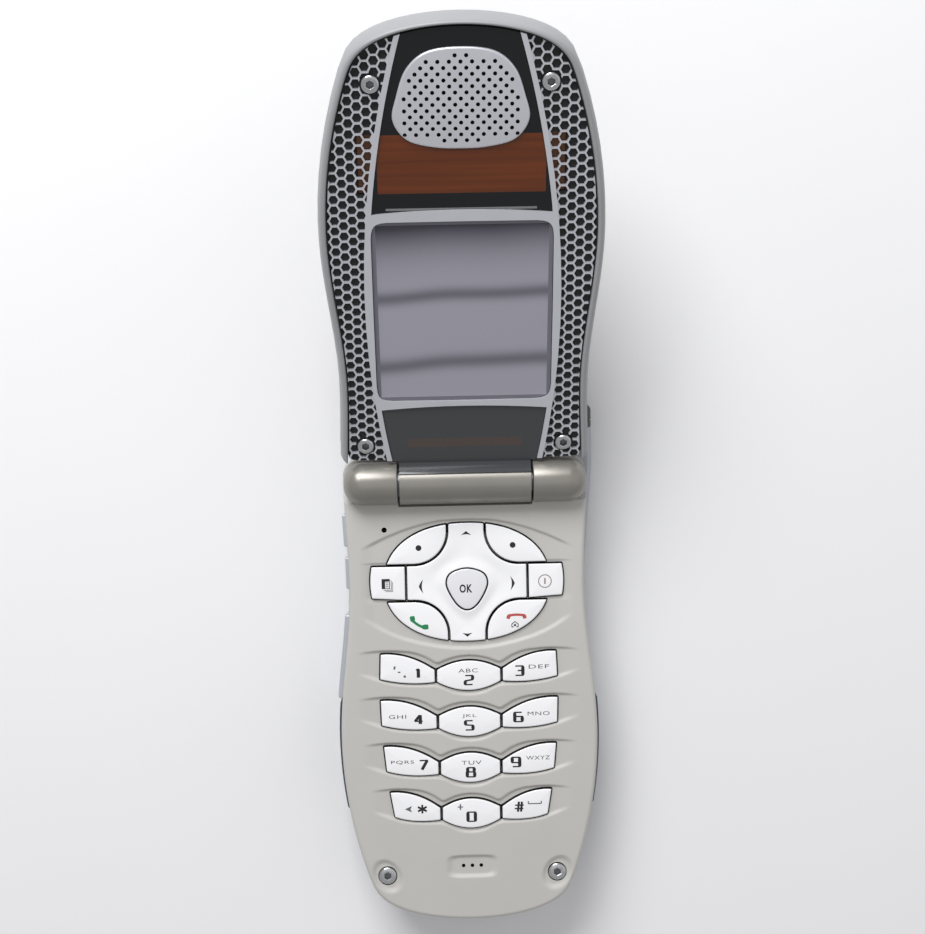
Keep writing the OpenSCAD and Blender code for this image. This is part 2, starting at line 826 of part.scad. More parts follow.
// Metal shell of the port with the contact tongue inside.
module charging_port() {
    color("#c7c9cc")
    on_base() {
        difference() {
            translate([-port_w / 2, port_back, port_floor])
                cube([port_w, port_face - port_back, port_h]);
            translate([-port_w / 2 + 0.35, port_back + 0.8, port_floor + 0.35])
                cube([port_w - 0.7, half_len, port_h - 0.7]);
        }
        translate([-port_w / 2 + 2, port_back, port_floor + port_h / 2 - 0.3])
            cube([port_w - 4, port_face - port_back - 1.2, 0.6]);
    }
}

module base_screw() {
    translate([0, 0, base_h - head_sink]) cylinder(h = head_sink - 0.15, r = base_head_d / 2);
    translate([0, 0, floor_h + 0.4])
        cylinder(h = base_h - head_sink - floor_h - 0.4 + eps, r = shank_d / 2);
}

module base_screws() {
    color("#d8d9db")
    on_base() for (x = [-1, 1]) translate([x * screw_at.x, screw_at.y, 0]) base_screw();
}

module grip(hand) {
    color("#39424f")
    on_base() slab(flipped(flank_strip([grip_from, grip_to], 0.05, grip_t), hand, 1),
        grip_h[0], grip_h[1]);
}

module side_grip_left() { grip(-1); }
module side_grip_right() { grip(1); }

// ---- keys ----

key_top = base_h + key_proud;
key_edge = 0.25;

module key_cap(p) {
    color("#f2f2f4")
    on_base() loft(p, [
        [key_foot, 0],
        [key_top - key_edge, 0],
        [key_top, -key_edge]
    ], key_crown);
}

nav_foot = key_foot + 0.35;
crown_run = 1.6;
rib_half = 1;
rib_reach = 8;
ring_foot = key_foot - 0.1;
ring_t = 0.2;

// The rocker under the direction key: a ring round the middle key with a rib on each side.
module nav_pivot() {
    color("#e4e2dc")
    on_base() difference() {
        union() {
            slab(grow(ok_outline, face_gap + 1), ring_foot, ring_foot + ring_t);
            translate([-rib_half, nav_at - rib_reach, ring_foot])
                cube([2 * rib_half, 2 * rib_reach, nav_foot - 0.05 - ring_foot]);
        }
        slab(grow(ok_outline, face_gap), ring_foot - 1, base_h);
    }
}

// The direction key in three shallow steps, with the opening for the middle key.
module nav_key() {
    color("#f2f2f4")
    on_base() for (step = [[key_top - key_edge, 0], [key_top, key_edge],
                           [key_top + key_crown, crown_run]])
        translate([0, 0, nav_foot]) linear_extrude(step[0] - nav_foot) difference() {
            polygon(grow(nav_outline(), -step[1]));
            polygon(grow(ok_outline, face_gap));
        }
}

module ok_key() { key_cap(ok_outline); }
module soft_key_left() { key_cap(corner_key(-1, -1)); }
module soft_key_right() { key_cap(corner_key(1, -1)); }
module menu_key() { key_cap(side_key(-1)); }
module power_key() { key_cap(side_key(1)); }
module call_key() { key_cap(corner_key(-1, 1)); }
module end_key() { key_cap(corner_key(1, 1)); }
module key_1() { key_cap(number_key(0, -1)); }
module key_2() { key_cap(number_key(0, 0)); }
module key_3() { key_cap(number_key(0, 1)); }
module key_4() { key_cap(number_key(1, -1)); }
module key_5() { key_cap(number_key(1, 0)); }
module key_6() { key_cap(number_key(1, 1)); }
module key_7() { key_cap(number_key(2, -1)); }
module key_8() { key_cap(number_key(2, 0)); }
module key_9() { key_cap(number_key(2, 1)); }
module key_star() { key_cap(number_key(3, -1)); }
module key_0() { key_cap(number_key(3, 0)); }
module key_hash() { key_cap(number_key(3, 1)); }

module flank_key(d, h, proud) {
    color("#b9bec6")
    on_base() slab(flipped(flank_strip(d, proud, flank_key_depth), -1, 1), h[0], h[1]);
}

module volume_up() { flank_key(volume_up_at, flank_key_h, volume_proud); }
module volume_down() { flank_key(volume_down_at, flank_key_h, volume_proud); }
module talk_button() { flank_key(talk_at, talk_key_h, talk_proud); }

knob_gap = 0.1;
knob_round = 1.2;

module antenna() {
    color("#2b2e33")
    on_base() translate([antenna_x, -sleeve_reach - knob_gap, antenna_h]) rotate([90, 0, 0]) {
        rotate_extrude() {
            square([sleeve_r, knob_len - knob_round]);
            square([sleeve_r - knob_round, knob_len]);
            intersection() {
                translate([sleeve_r - knob_round, knob_len - knob_round]) circle(knob_round);
                square([sleeve_r, knob_len]);
            }
        }
        translate([0, 0, -rod_len]) cylinder(h = rod_len + eps, r = rod_r);
    }
}

// ---- lid ----

lid_corner = 1.2;
lid_curve = outline(lid_start, lid_corner);
shell_curve = outline(lid_start, lid_round + 0.4);
seam_inset = 0.15;
upper_screw_at = [14.85, half_len - 10.5];
lower_screw_at = [18.25, 8];
lid_screw_at = [for (at = [upper_screw_at, lower_screw_at], x = [-1, 1]) [x * at.x, at.y]];
lid_boss_r = 2;
outer_window_at = [0, half_len - 25.2];
outer_window_size = [24, 18];
outer_view = [19, 13.5];
outer_edge = [1.5, 1.5];

module lid_shell() {
    color("#a7a9aa")
    on_lid() difference() {
        loft(shell_curve, concat(
            round_foot(lid_back_n, lid_round),
            [[rim_n - 1.6, 0], [rim_n, -seam_inset]]
        ));
        difference() {
            slab(grow(shell_curve, -lid_wall), lid_back_n + lid_floor, rim_n + 1);
            for (at = lid_screw_at) post(at, lid_back_n, rim_n + 2, lid_boss_r);
        }
        for (at = lid_screw_at)
            post(at, lid_back_n + lid_floor + 0.5, rim_n + 1, shank_d / 2 + 0.05);
        translate([0, 0, lid_back_n - 1]) linear_extrude(1 + 0.8)
            translate(outer_window_at) square(outer_window_size + [fit, fit] * 2, center = true);
        translate([0, 0, lid_back_n]) linear_extrude(lid_floor + 1)
            translate(outer_window_at) square(outer_view, center = true);
    }
}

function mouth(start, gap) =
    grow(outline(start, lid_corner, rim_side, rim_end), -gap);

module lid_rim() {
    color("#a7a9aa")
    on_lid() difference() {
        loft(lid_curve, [
            [rim_n, -seam_inset],
            [face_n - 0.5, -flank_lean],
            [face_n - 0.15, -flank_lean - 0.15],
            [face_n, -flank_lean - 0.45]
        ]);
        slab(mouth(lid_start - 4, 0), rim_n - 1, face_n + 1);
    }
}

// Middle barrel of the hinge with the neck that carries the lid.
module lid_barrel() {
    color("#8d8a84")
    on_lid() difference() {
        union() {
            along_x(-barrel_w / 2, barrel_w / 2, barrel_r);
            translate([-barrel_w / 2, 0, 0]) rotate([90, 0, 90]) linear_extrude(barrel_w)
                polygon([[0, -barrel_r], [lid_start, rim_n - 4.2], [lid_start, rim_n], [0, rim_n]]);
        }
        along_x(-barrel_w, cartridge_x[1] + 0.3, cartridge_r + pin_gap);
        along_x(pin_x[0] - 0.3, barrel_w, pin_r + pin_gap);
    }
}

// The rails are arcs that narrow from their widest place to the far end.
rails_drop = (rails_w - rails_end_w) / 2;
rails_run = half_len - rails_at;
rails_r = (rails_run * rails_run + rails_drop * rails_drop) / (2 * rails_drop);

// Half width of the frame over its rails at a distance from the hinge axis.
function rail_x(d) =
    rails_w / 2 - rails_r + sqrt(rails_r * rails_r - (d - rails_at) * (d - rails_at));

function rail_strip(inset, from, to) =
    let (
        steps = 12,
        right = [for (i = [0 : steps]) let (d = from + (to - from) * i / steps)
            [rail_x(d) - inset, d]]
    )
    concat(right, mirrored(right));

screen_curve = moved(oval(screen_a, screen_b, screen_power, 8), [0, screen_at]);
upper_band = 2;
lower_band = 1;
window_top_at = screen_at + screen_b + upper_band;
window_low_at = screen_at - screen_b - lower_band;
window_bow = 0.85;
mouth_gap = 0.3;

// Openings of the frame over and under the screen, each drawn in by a gap.
module upper_opening(gap) {
    intersection() {
        polygon(rail_strip(rail_t + gap, window_top_at - 2, half_len + 1));
        polygon(mouth(lid_start, mouth_gap + gap));
        polygon(concat(
            bow([-rails_w / 2, window_top_at + gap - window_bow], [0, window_top_at + gap],
                [rails_w / 2, window_top_at + gap - window_bow], 10),
            [[rails_w, half_len + 1], [-rails_w, half_len + 1]]
        ));
    }
}

module lower_opening(gap) {
    intersection() {
        polygon(rail_strip(rail_t + gap, lid_start - 2, window_low_at + 1));
        polygon(concat(
            [[-rails_w, lid_start], [rails_w, lid_start]],
            bow([rails_w / 2, window_low_at - gap - window_bow], [0, window_low_at - gap],
                [-rails_w / 2, window_low_at - gap - window_bow], 10)
        ));
    }
}

module screw_rings(r) {
    for (at = lid_screw_at) translate(at) circle(r);
}

ring_r = lid_head_d / 2 + 0.3;

// Hexagons of the mesh, in columns that step half a cell, cut where they leave the band.
module mesh_cells() {
    w = cell_x * 2 / 3 - wire_t / sqrt(3);
    h = (cell_d - wire_t) / 2;
    cell = [[w, 0], [w / 2, h], [-w / 2, h], [-w, 0], [-w / 2, -h], [w / 2, -h]];
    rows = ceil(half_len / cell_d);
    columns = ceil(belly_w / 2 / cell_x);
    for (c = [6 : columns], r = [0 : rows]) {
        x = c * cell_x + 0.4;
        d = lid_start + (r + (c % 2) / 2) * cell_d;
        if (x > rail_x(d) - 0.5 && x < side(d) - rim_side + 0.2 && d < half_len - 1.5)
            translate([x, d]) polygon(cell);
    }
}

// The honeycomb of one side, from its rail out to its free edge under the rim.
module mesh_band() {
    linear_extrude(mesh_t) difference() {
        intersection() {
            polygon(mouth(lid_start, mouth_gap));
            translate([rail_t, 0]) square([belly_w, half_len]);
        }
        polygon(rail_strip(rail_t / 2, lid_start - 1, half_len + 1));
        mesh_cells();
        screw_rings(ring_r);
    }
}

// The bright frame: screen surround, two rails and the honeycomb outside them, one piece.
module mesh_frame() {
    color("#c9ccd0")
    on_lid() {
        for (hand = [0, 1]) mirror([hand, 0, 0]) translate([0, 0, mesh_n]) mesh_band();
        translate([0, 0, mesh_n]) linear_extrude(rail_top_n - mesh_n)
            difference() {
                intersection() {
                    polygon(rail_strip(0, lid_start, half_len + 1));
                    polygon(mouth(lid_start, mouth_gap));
                }
                upper_opening(0);
                lower_opening(0);
                polygon(screen_curve);
                screw_rings(ring_r);
            }
    }
}

flex_from = window_top_at + 2.85;
flex_half = 17.5;
ear_at = [0, half_len - 13.7];
flex_to = ear_at.y - 5.5;
ear_points = [[0, 9.1], [-5.6, 8.35], [-9, 5.5], [-10.7, 1], [-11.4, -2.9], [-9.1, -6.2],
              [-4.6, -7.5], [0, -7.75], [4.6, -7.5], [9.1, -6.2], [11.4, -2.9], [10.7, 1],
              [9, 5.5], [5.6, 8.35]];
ear_curve = moved(smooth(ear_points, 4), ear_at);

module lid_tray() {
    color("#17181a")
    on_lid() difference() {
        slab(mouth(lid_start, fit), rim_n, mesh_n);
        slab(grow(screen_curve, -0.6), rim_n - 1, mesh_n + 1);
        translate([-flex_half - fit, flex_from - fit, rim_n - 1])
            cube([2 * (flex_half + fit), flex_to - flex_from + 2 * fit, 3]);
        post(ear_at, rim_n - 1, mesh_n + 1, 4.5);
        for (at = lid_screw_at) post(at, rim_n - 1, mesh_n + 1, shank_d / 2 + 0.15);
    }
}

module earpiece_flex() {
    color("#8a4a1c")
    on_lid() translate([-flex_half, flex_from, rim_n]) cube([2 * flex_half, flex_to - flex_from, 0.3]);
}

window_t = mesh_t + 0.1;

module window_upper() {
    color("#2a2724")
    on_lid() translate([0, 0, mesh_n]) linear_extrude(window_t)
        difference() {
            upper_opening(fit);
            polygon(grow(ear_curve, fit));
        }
}

lip_from = -12;
lip_to = 38;
lip_gap = 0.03;

// The lower window bends over the barrel in a thin lip.
module window_lower() {
    color("#2a2724")
    on_lid() {
        translate([0, 0, mesh_n]) linear_extrude(window_t) {
            lower_opening(fit);
            translate([-barrel_w / 2, barrel_r + lip_gap])
                square([barrel_w, lid_start - barrel_r + 0.2]);
        }
        translate([-barrel_w / 2, 0, 0]) rotate([90, 0, 90]) linear_extrude(barrel_w)
            difference() {
                intersection() {
                    circle(barrel_r + lip_gap + lip_t);
                    polygon([[0, 0], for (a = [lip_from, lip_to]) 8 * [cos(a), sin(a)]]);
                }
                circle(barrel_r + lip_gap);
            }
    }
}

// Rows of the earpiece stand half a pitch apart along the lid, a diagonal lattice.
ear_row = 1;
ear_low = -6.25;
ear_high = 7.9;
ear_widest = 10.2;
function ear_half(d) =
    d < -5.5 ? 4 + (d + 6.3) * 4.6 :
    d < -2.5 ? ear_widest :
    d < 5 ? ear_widest - (d + 2.5) * 0.18 :
    ear_widest - 1.35 - (d - 5) * (d - 5) * 0.85;

module earpiece_grille() {
    color("#c4c7cc")
    on_lid() translate([0, 0, mesh_n]) linear_extrude(rail_top_n - mesh_n)
        difference() {
            polygon(ear_curve);
            for (row = [0 : floor((ear_high - ear_low) / ear_row)]) {
                d = ear_low + row * ear_row;
                shift = (row % 2) / 2 + 0.5;
                for (k = [-7 : 6])
                    if (abs((k + shift) * ear_pitch) < ear_half(d))
                        translate(ear_at + [(k + shift) * ear_pitch, d])
                            circle(ear_hole_d / 2);
            }
        }
}

module screen_lens() {
    color("#34373c")
    on_lid() slab(grow(screen_curve, -fit), mesh_n, mesh_top_n);
}

module_t = 3.2;
module_side = 0.7;
module_end = 1.95;
earpiece_r = 6.8;

module screen_module() {
    color("#1c1e22")
    on_lid() translate([-screen_a - module_side, screen_at - screen_b - module_end,
        rim_n - module_t])
        cube([2 * (screen_a + module_side), 2 * (screen_b + module_end), module_t]);
}

module earpiece() {
    color("#26282a") on_lid() post(ear_at, rim_n - module_t, rim_n, earpiece_r);
}

lid_board_t = 0.8;
lid_board_n = rim_n - module_t - 0.1 - lid_board_t;

module lid_board() {
    color("#1f6b45")
    on_lid() intersection() {
        slab(grow(shell_curve, -lid_wall - 0.3), lid_board_n, lid_board_n + lid_board_t);
        translate([-belly_w / 2, lower_screw_at.y + lid_boss_r + 0.3, lid_board_n])
            cube([belly_w, upper_screw_at.y - lower_screw_at.y - 2 * lid_boss_r - 0.6, lid_board_t]);
    }
}

module lid_screws() {
    color("#d8d9db")
    on_lid() for (at = lid_screw_at) {
        post(at, mesh_n, rail_top_n + 0.05, lid_head_d / 2);
        post(at, lid_back_n + lid_floor + 0.6, mesh_n + eps, shank_d / 2);
    }
}

module outer_window() {
    color("#202327")
    on_lid() translate([0, 0, lid_back_n]) linear_extrude(0.8)
        translate(outer_window_at) square(outer_window_size, center = true);
}

module outer_screen() {
    color("#1c1e22")
    on_lid() translate([0, 0, lid_back_n + lid_floor]) linear_extrude(lid_board_n - lid_back_n - lid_floor - 0.1)
        translate(outer_window_at) square(outer_view + 2 * outer_edge, center = true);
}

front_housing();
rear_housing();
hinge_cap_left();
hinge_cap_right();
hinge_cartridge();
hinge_pin();
main_board();
keypad_mat();
battery();
battery_door();
side_grip_left();
side_grip_right();
base_screws();
microphone();
loudspeaker();
vibration_motor();
charging_port();
antenna();
nav_pivot();
nav_key();
ok_key();
soft_key_left();
soft_key_right();
menu_key();
power_key();
call_key();
end_key();
key_1();
key_2();
key_3();
key_4();
key_5();
key_6();
key_7();
key_8();
key_9();
key_star();
key_0();
key_hash();
volume_up();
volume_down();
talk_button();
lid_shell();
lid_rim();
lid_barrel();
lid_tray();
mesh_frame();
window_upper();
window_lower();
earpiece_grille();
earpiece_flex();
screen_lens();
screen_module();
earpiece();
lid_board();
lid_screws();
outer_window();
outer_screen();
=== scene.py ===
import json
import math

import bmesh
import bpy
import numpy as np
from mathutils import Matrix, Vector


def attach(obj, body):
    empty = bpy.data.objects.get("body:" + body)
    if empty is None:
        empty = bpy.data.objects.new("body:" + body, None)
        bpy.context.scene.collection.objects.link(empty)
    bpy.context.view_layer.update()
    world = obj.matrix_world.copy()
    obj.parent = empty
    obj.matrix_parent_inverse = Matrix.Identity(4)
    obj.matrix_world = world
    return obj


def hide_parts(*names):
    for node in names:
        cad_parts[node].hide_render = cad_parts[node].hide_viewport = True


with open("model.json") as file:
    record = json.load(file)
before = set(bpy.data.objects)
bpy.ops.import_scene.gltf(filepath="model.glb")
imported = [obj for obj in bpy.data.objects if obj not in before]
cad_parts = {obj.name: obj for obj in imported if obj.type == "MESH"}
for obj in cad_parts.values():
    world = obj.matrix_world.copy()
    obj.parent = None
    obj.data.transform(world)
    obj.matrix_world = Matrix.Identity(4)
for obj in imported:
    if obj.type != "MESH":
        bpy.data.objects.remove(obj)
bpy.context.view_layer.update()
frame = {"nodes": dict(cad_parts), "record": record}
print("frame loaded:", len(frame["nodes"]), "nodes")

mm = 0.001

# Sizes in millimetres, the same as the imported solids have. Both halves use one local
# frame: x across, d the distance from the hinge axis, n the height towards keys or screen.
phone = {
    "halfLength": 85.2, "hingeWidth": 46.6, "waistWidth": 45.3, "waistAt": 20.0,
    "bellyWidth": 49.8, "bellyAt": 48.5, "tailRadius": 84.0, "endLength": 9.2,
    "endPower": 3.5, "faceHeight": 13.8, "axisHeight": 15.0, "openAngle": 156.0,
}
hingeY = phone["halfLength"] / 2
lidTilt = math.radians(180 - phone["openAngle"])


# Base points (x, d, height) and lid points (x, d, n) to the model's frame, in metres.
def onBase(p):
    p = np.asarray(p, float)
    return np.stack([p[..., 0], hingeY - p[..., 1], p[..., 2]], -1) * mm


def onLid(p):
    p = np.asarray(p, float)
    c, s = math.cos(lidTilt), math.sin(lidTilt)
    y = hingeY + p[..., 1] * c - p[..., 2] * s
    z = phone["axisHeight"] + p[..., 1] * s + p[..., 2] * c
    return np.stack([p[..., 0], y, z], -1) * mm


def ease(t):  # smoothstep, held at 0 and 1 outside the range
    t = np.clip(t, 0, 1)
    return t * t * (3 - 2 * t)


# Half width at d: two smoothsteps, hinge to waist to belly, then an arc of the tail radius.
def sideAt(d):
    d = np.asarray(d, float)
    hinge, waist, belly = (phone[k] / 2 for k in ("hingeWidth", "waistWidth", "bellyWidth"))
    near = hinge + (waist - hinge) * ease(d / phone["waistAt"])
    far = waist + (belly - waist) * ease(
        (d - phone["waistAt"]) / (phone["bellyAt"] - phone["waistAt"]))
    past = np.clip(d - phone["bellyAt"], 0, None)
    tail = belly - phone["tailRadius"] + np.sqrt(phone["tailRadius"] ** 2 - past ** 2)
    return np.where(d < phone["waistAt"], near, np.where(d < phone["bellyAt"], far, tail))


# The right half of the outline from the start to the middle of the far end: a quarter
# round corner, the side curve, then x = side cos(a), d = last + length sin(a)^(2/power).
def halfOutline(start, corner, inSide=0.0, inEnd=0.0, step=0.3, endSteps=54):
    first = start + corner
    last = phone["halfLength"] - phone["endLength"] - inEnd
    w = sideAt(first) - inSide
    a = np.radians(np.linspace(0, 90, 13)[:-1])
    turn = np.stack([w - corner * (1 - np.sin(a)), start + corner * (1 - np.cos(a))], -1)
    d = np.linspace(first, last, int((last - first) / step) + 2)[:-1]
    flank = np.stack([sideAt(d) - inSide, d], -1)
    a = np.radians(90 * np.linspace(0, 1, endSteps) ** 1.7)
    d = last + phone["endLength"] * np.sin(a) ** (2 / phone["endPower"])
    end = np.stack([(sideAt(d) - inSide) * np.cos(a), d], -1)
    end[-1, 0] = 0
    return np.concatenate([turn, flank, end])


def bothSides(half):  # mirrors a half curve that ends on the middle line
    return np.concatenate([half, half[-2::-1] * [-1, 1]])


# A parabola from a to c that passes through b half way.
def bow(a, b, c, steps=24):
    a, b, c = (np.asarray(v, float) for v in (a, b, c))
    t = np.linspace(0, 1, steps + 1)[:, None]
    return a * (1 - t) * (1 - 2 * t) + b * 4 * t * (1 - t) + c * t * (2 * t - 1)


# A closed loop set out again in equal steps, with its corners softened by a running mean.
def softLoop(loop, count, soft=0.0):
    loop = np.asarray(loop, float)
    closed = np.concatenate([loop, loop[:1]])
    run = np.concatenate([[0], np.cumsum(np.linalg.norm(np.diff(closed, axis=0), axis=1))])
    fine = max(count, int(run[-1] / 0.04)) if soft else count
    at = np.linspace(0, run[-1], fine, endpoint=False)
    out = np.stack([np.interp(at, run, closed[:, k]) for k in (0, 1)], -1)
    if soft:
        reach = max(1, int(round(soft / (run[-1] / fine))))
        kernel = np.ones(2 * reach + 1) / (2 * reach + 1)
        wide = np.concatenate([out[-reach:], out, out[:reach]])
        out = np.stack([np.convolve(wide[:, k], kernel, "valid") for k in (0, 1)], -1)
        out = out[np.linspace(0, fine, count, endpoint=False).astype(int)]
    return out


# The outward normals of a loop that runs counter-clockwise in x and d.
def loopNormals(loop):
    along = np.roll(loop, -1, 0) - np.roll(loop, 1, 0)
    along /= np.linalg.norm(along, axis=1, keepdims=True) + 1e-12
    return np.stack([along[:, 1], -along[:, 0]], -1)


# The distance of each point to the nearest edge of a loop, clamped to the edges' ends.
def loopDistance(points, loop):
    a, b = loop, np.roll(loop, -1, 0)
    ab = b - a
    best = np.full(len(points), np.inf)
    for part in np.array_split(np.arange(len(a)), max(1, len(a) // 40)):
        ap = points[:, None] - a[None, part]
        t = np.clip((ap * ab[part]).sum(-1) / ((ab[part] ** 2).sum(-1) + 1e-12), 0, 1)
        best = np.minimum(best, np.linalg.norm(ap - t[..., None] * ab[part], axis=-1).min(1))
    return best


# Quads between the rows of a grid, closed round each row where the rows are loops.
def gridQuads(rows, columns, closed=True, start=0):
    i, j = np.meshgrid(np.arange(rows - 1), np.arange(columns if closed else columns - 1),
                       indexing="ij")
    k = (j + 1) % columns
    quads = np.stack([i * columns + j, i * columns + k, (i + 1) * columns + k,
                      (i + 1) * columns + j], -1)
    return quads.reshape(-1, 4) + start


def newMesh(name, points, faces):
    mesh = bpy.data.meshes.new(name)
    mesh.from_pydata(np.asarray(points).tolist(), [], [list(f) for part in faces
                                                       for f in np.asarray(part).tolist()])
    return mesh


# Doubles merged first, then the faces turned outwards.
def tidyMesh(mesh, merge=0.004, turn=True):
    b = bmesh.new()
    b.from_mesh(mesh)
    bmesh.ops.remove_doubles(b, verts=b.verts, dist=merge * mm)
    bmesh.ops.dissolve_degenerate(b, edges=b.edges, dist=0.0005 * mm)
    if turn:
        bmesh.ops.recalc_face_normals(b, faces=b.faces)
    b.to_mesh(mesh)
    b.free()


def newPiece(name, mesh, materials, body, replaces=(), sharp=32):
    piece = bpy.data.objects.new(name, mesh)
    bpy.context.scene.collection.objects.link(piece)
    index = np.zeros(len(mesh.polygons), np.int32)
    mesh.polygons.foreach_get("material_index", index)
    mesh.materials.clear()  # a boolean leaves an empty slot
    for material in materials:
        mesh.materials.append(material)
    mesh.polygons.foreach_set("material_index", index)
    mesh.shade_smooth()
    if sharp:
        mesh.set_sharp_from_angle(angle=math.radians(sharp))
    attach(piece, body)
    if replaces:
        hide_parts(*replaces)
    return piece


# A straight prism over a loop, in the half's local frame.
def prism(loop, low, high, place=onBase):
    n = len(loop)
    points = np.concatenate([np.column_stack([loop, np.full(n, z)]) for z in (low, high)])
    mesh = newMesh("prism", place(points), [gridQuads(2, n), [np.arange(n)[::-1]],
                                            [np.arange(n, 2 * n)]])
    tidyMesh(mesh)
    return mesh


# A prism over a rectangle given by its corners.
def boxPrism(x, d, n, place=onBase):
    return prism(np.array([[x[0], d[0]], [x[1], d[0]], [x[1], d[1]], [x[0], d[1]]]),
                 n[0], n[1], place)


def circleLoop(at, r, count=32):
    a = np.linspace(0, 2 * math.pi, count, endpoint=False)
    return np.stack([at[0] + r * np.cos(a), at[1] + r * np.sin(a)], -1)


# A round bar along x about a point (d, n).
def barAlongX(x, at, r, place=onBase, count=96):
    a = np.linspace(0, 2 * math.pi, count, endpoint=False)
    ring = np.stack([at[0] + r * np.cos(a), at[1] + r * np.sin(a)], -1)
    points = np.concatenate([np.column_stack([np.full(count, v), ring]) for v in x])
    mesh = newMesh("bar", place(points), [gridQuads(2, count), [np.arange(count)[::-1]],
                                          [np.arange(count, 2 * count)]])
    tidyMesh(mesh)
    return mesh


def perFace(mesh, what):  # the centre or the normal of every face
    values = np.empty(len(mesh.polygons) * 3)
    mesh.polygons.foreach_get(what, values)
    return values.reshape(-1, 3)


def joined(meshes):
    b = bmesh.new()
    for mesh in meshes:
        b.from_mesh(mesh)
    whole = bpy.data.meshes.new("joined")
    b.to_mesh(whole)
    b.free()
    return whole


# A mesh with others cut from it, or added or kept, by Blender's own boolean.
def boolean(mesh, other, operation="DIFFERENCE"):
    scene = bpy.context.scene
    one, two = (bpy.data.objects.new("part", m) for m in (mesh, other))
    for thing in (one, two):
        scene.collection.objects.link(thing)
    step = one.modifiers.new("cut", "BOOLEAN")
    step.operation, step.object, step.solver = operation, two, "MANIFOLD"
    bpy.context.view_layer.update()
    whole = one.evaluated_get(bpy.context.evaluated_depsgraph_get())
    result = bpy.data.meshes.new_from_object(whole)
    if len(result.polygons) == 0:
        step.solver = "EXACT"
        bpy.context.view_layer.update()
        whole = one.evaluated_get(bpy.context.evaluated_depsgraph_get())
        result = bpy.data.meshes.new_from_object(whole)
    for thing in (one, two):
        bpy.data.objects.remove(thing)
    return result


def linear(hexColour):  # sRGB hex to the shader's linear colour
    c = [int(hexColour[i:i + 2], 16) / 255 for i in (1, 3, 5)]
    return tuple(v / 12.92 if v <= 0.04045 else ((v + 0.055) / 1.055) ** 2.4 for v in c) + (1.0,)


# One node with its settings and links: settings go to attributes, or to sockets by name.
def addNode(tree, kind, settings=None, links=None):
    node = tree.nodes.new(kind)
    for name, value in (settings or {}).items():
        if isinstance(name, str) and hasattr(node, name):
            setattr(node, name, value)
        else:
            node.inputs[name].default_value = value
    for socket, source in (links or {}).items():
        tree.links.new(source, node.inputs[socket])
    return node


def newFinish(name, colour, roughness, metallic=0.0, **sockets):
    material = bpy.data.materials.new(name)
    material.use_nodes = True
    material.diffuse_color = linear(colour)
    shader = material.node_tree.nodes["Principled BSDF"]
    shader.inputs["Base Color"].default_value = linear(colour)
    shader.inputs["Roughness"].default_value = roughness
    shader.inputs["Metallic"].default_value = metallic
    for socket, value in sockets.items():
        shader.inputs[socket].default_value = value
    return material, material.node_tree, shader


# The base colour wavers between two tones, in patches of a size in millimetres.
def addTone(tree, shader, colour, size, detail):
    place = addNode(tree, "ShaderNodeTexCoord").outputs["Object"]
    patches = addNode(tree, "ShaderNodeTexNoise", {"Scale": 1 / (size * mm), "Detail": detail},
                      {"Vector": place})
    tone = addNode(tree, "ShaderNodeMix", {"data_type": "RGBA", 6: linear(colour[0]),
                   7: linear(colour[1])}, {0: patches.outputs["Fac"]})
    tree.links.new(tone.outputs[2], shader.inputs["Base Color"])
    return place


# A fine grain: bump of a real grain size, with the roughness and the tone drifting a little.
def addGrain(tree, shader, colour, roughness, grain):
    place = addTone(tree, shader, colour, grain["drift"], 3.0)
    fine = addNode(tree, "ShaderNodeTexNoise", {"Scale": 1 / (grain["size"] * mm), "Detail": 2.0},
                   {"Vector": place})
    bump = addNode(tree, "ShaderNodeBump", {"Strength": grain["strength"],
                   "Distance": grain["height"] * mm}, {"Height": fine.outputs["Fac"]})
    tree.links.new(bump.outputs["Normal"], shader.inputs["Normal"])
    rough = addNode(tree, "ShaderNodeMapRange", {"To Min": roughness[0], "To Max": roughness[1]},
                    {"Value": fine.outputs["Fac"]})
    tree.links.new(rough.outputs["Result"], shader.inputs["Roughness"])


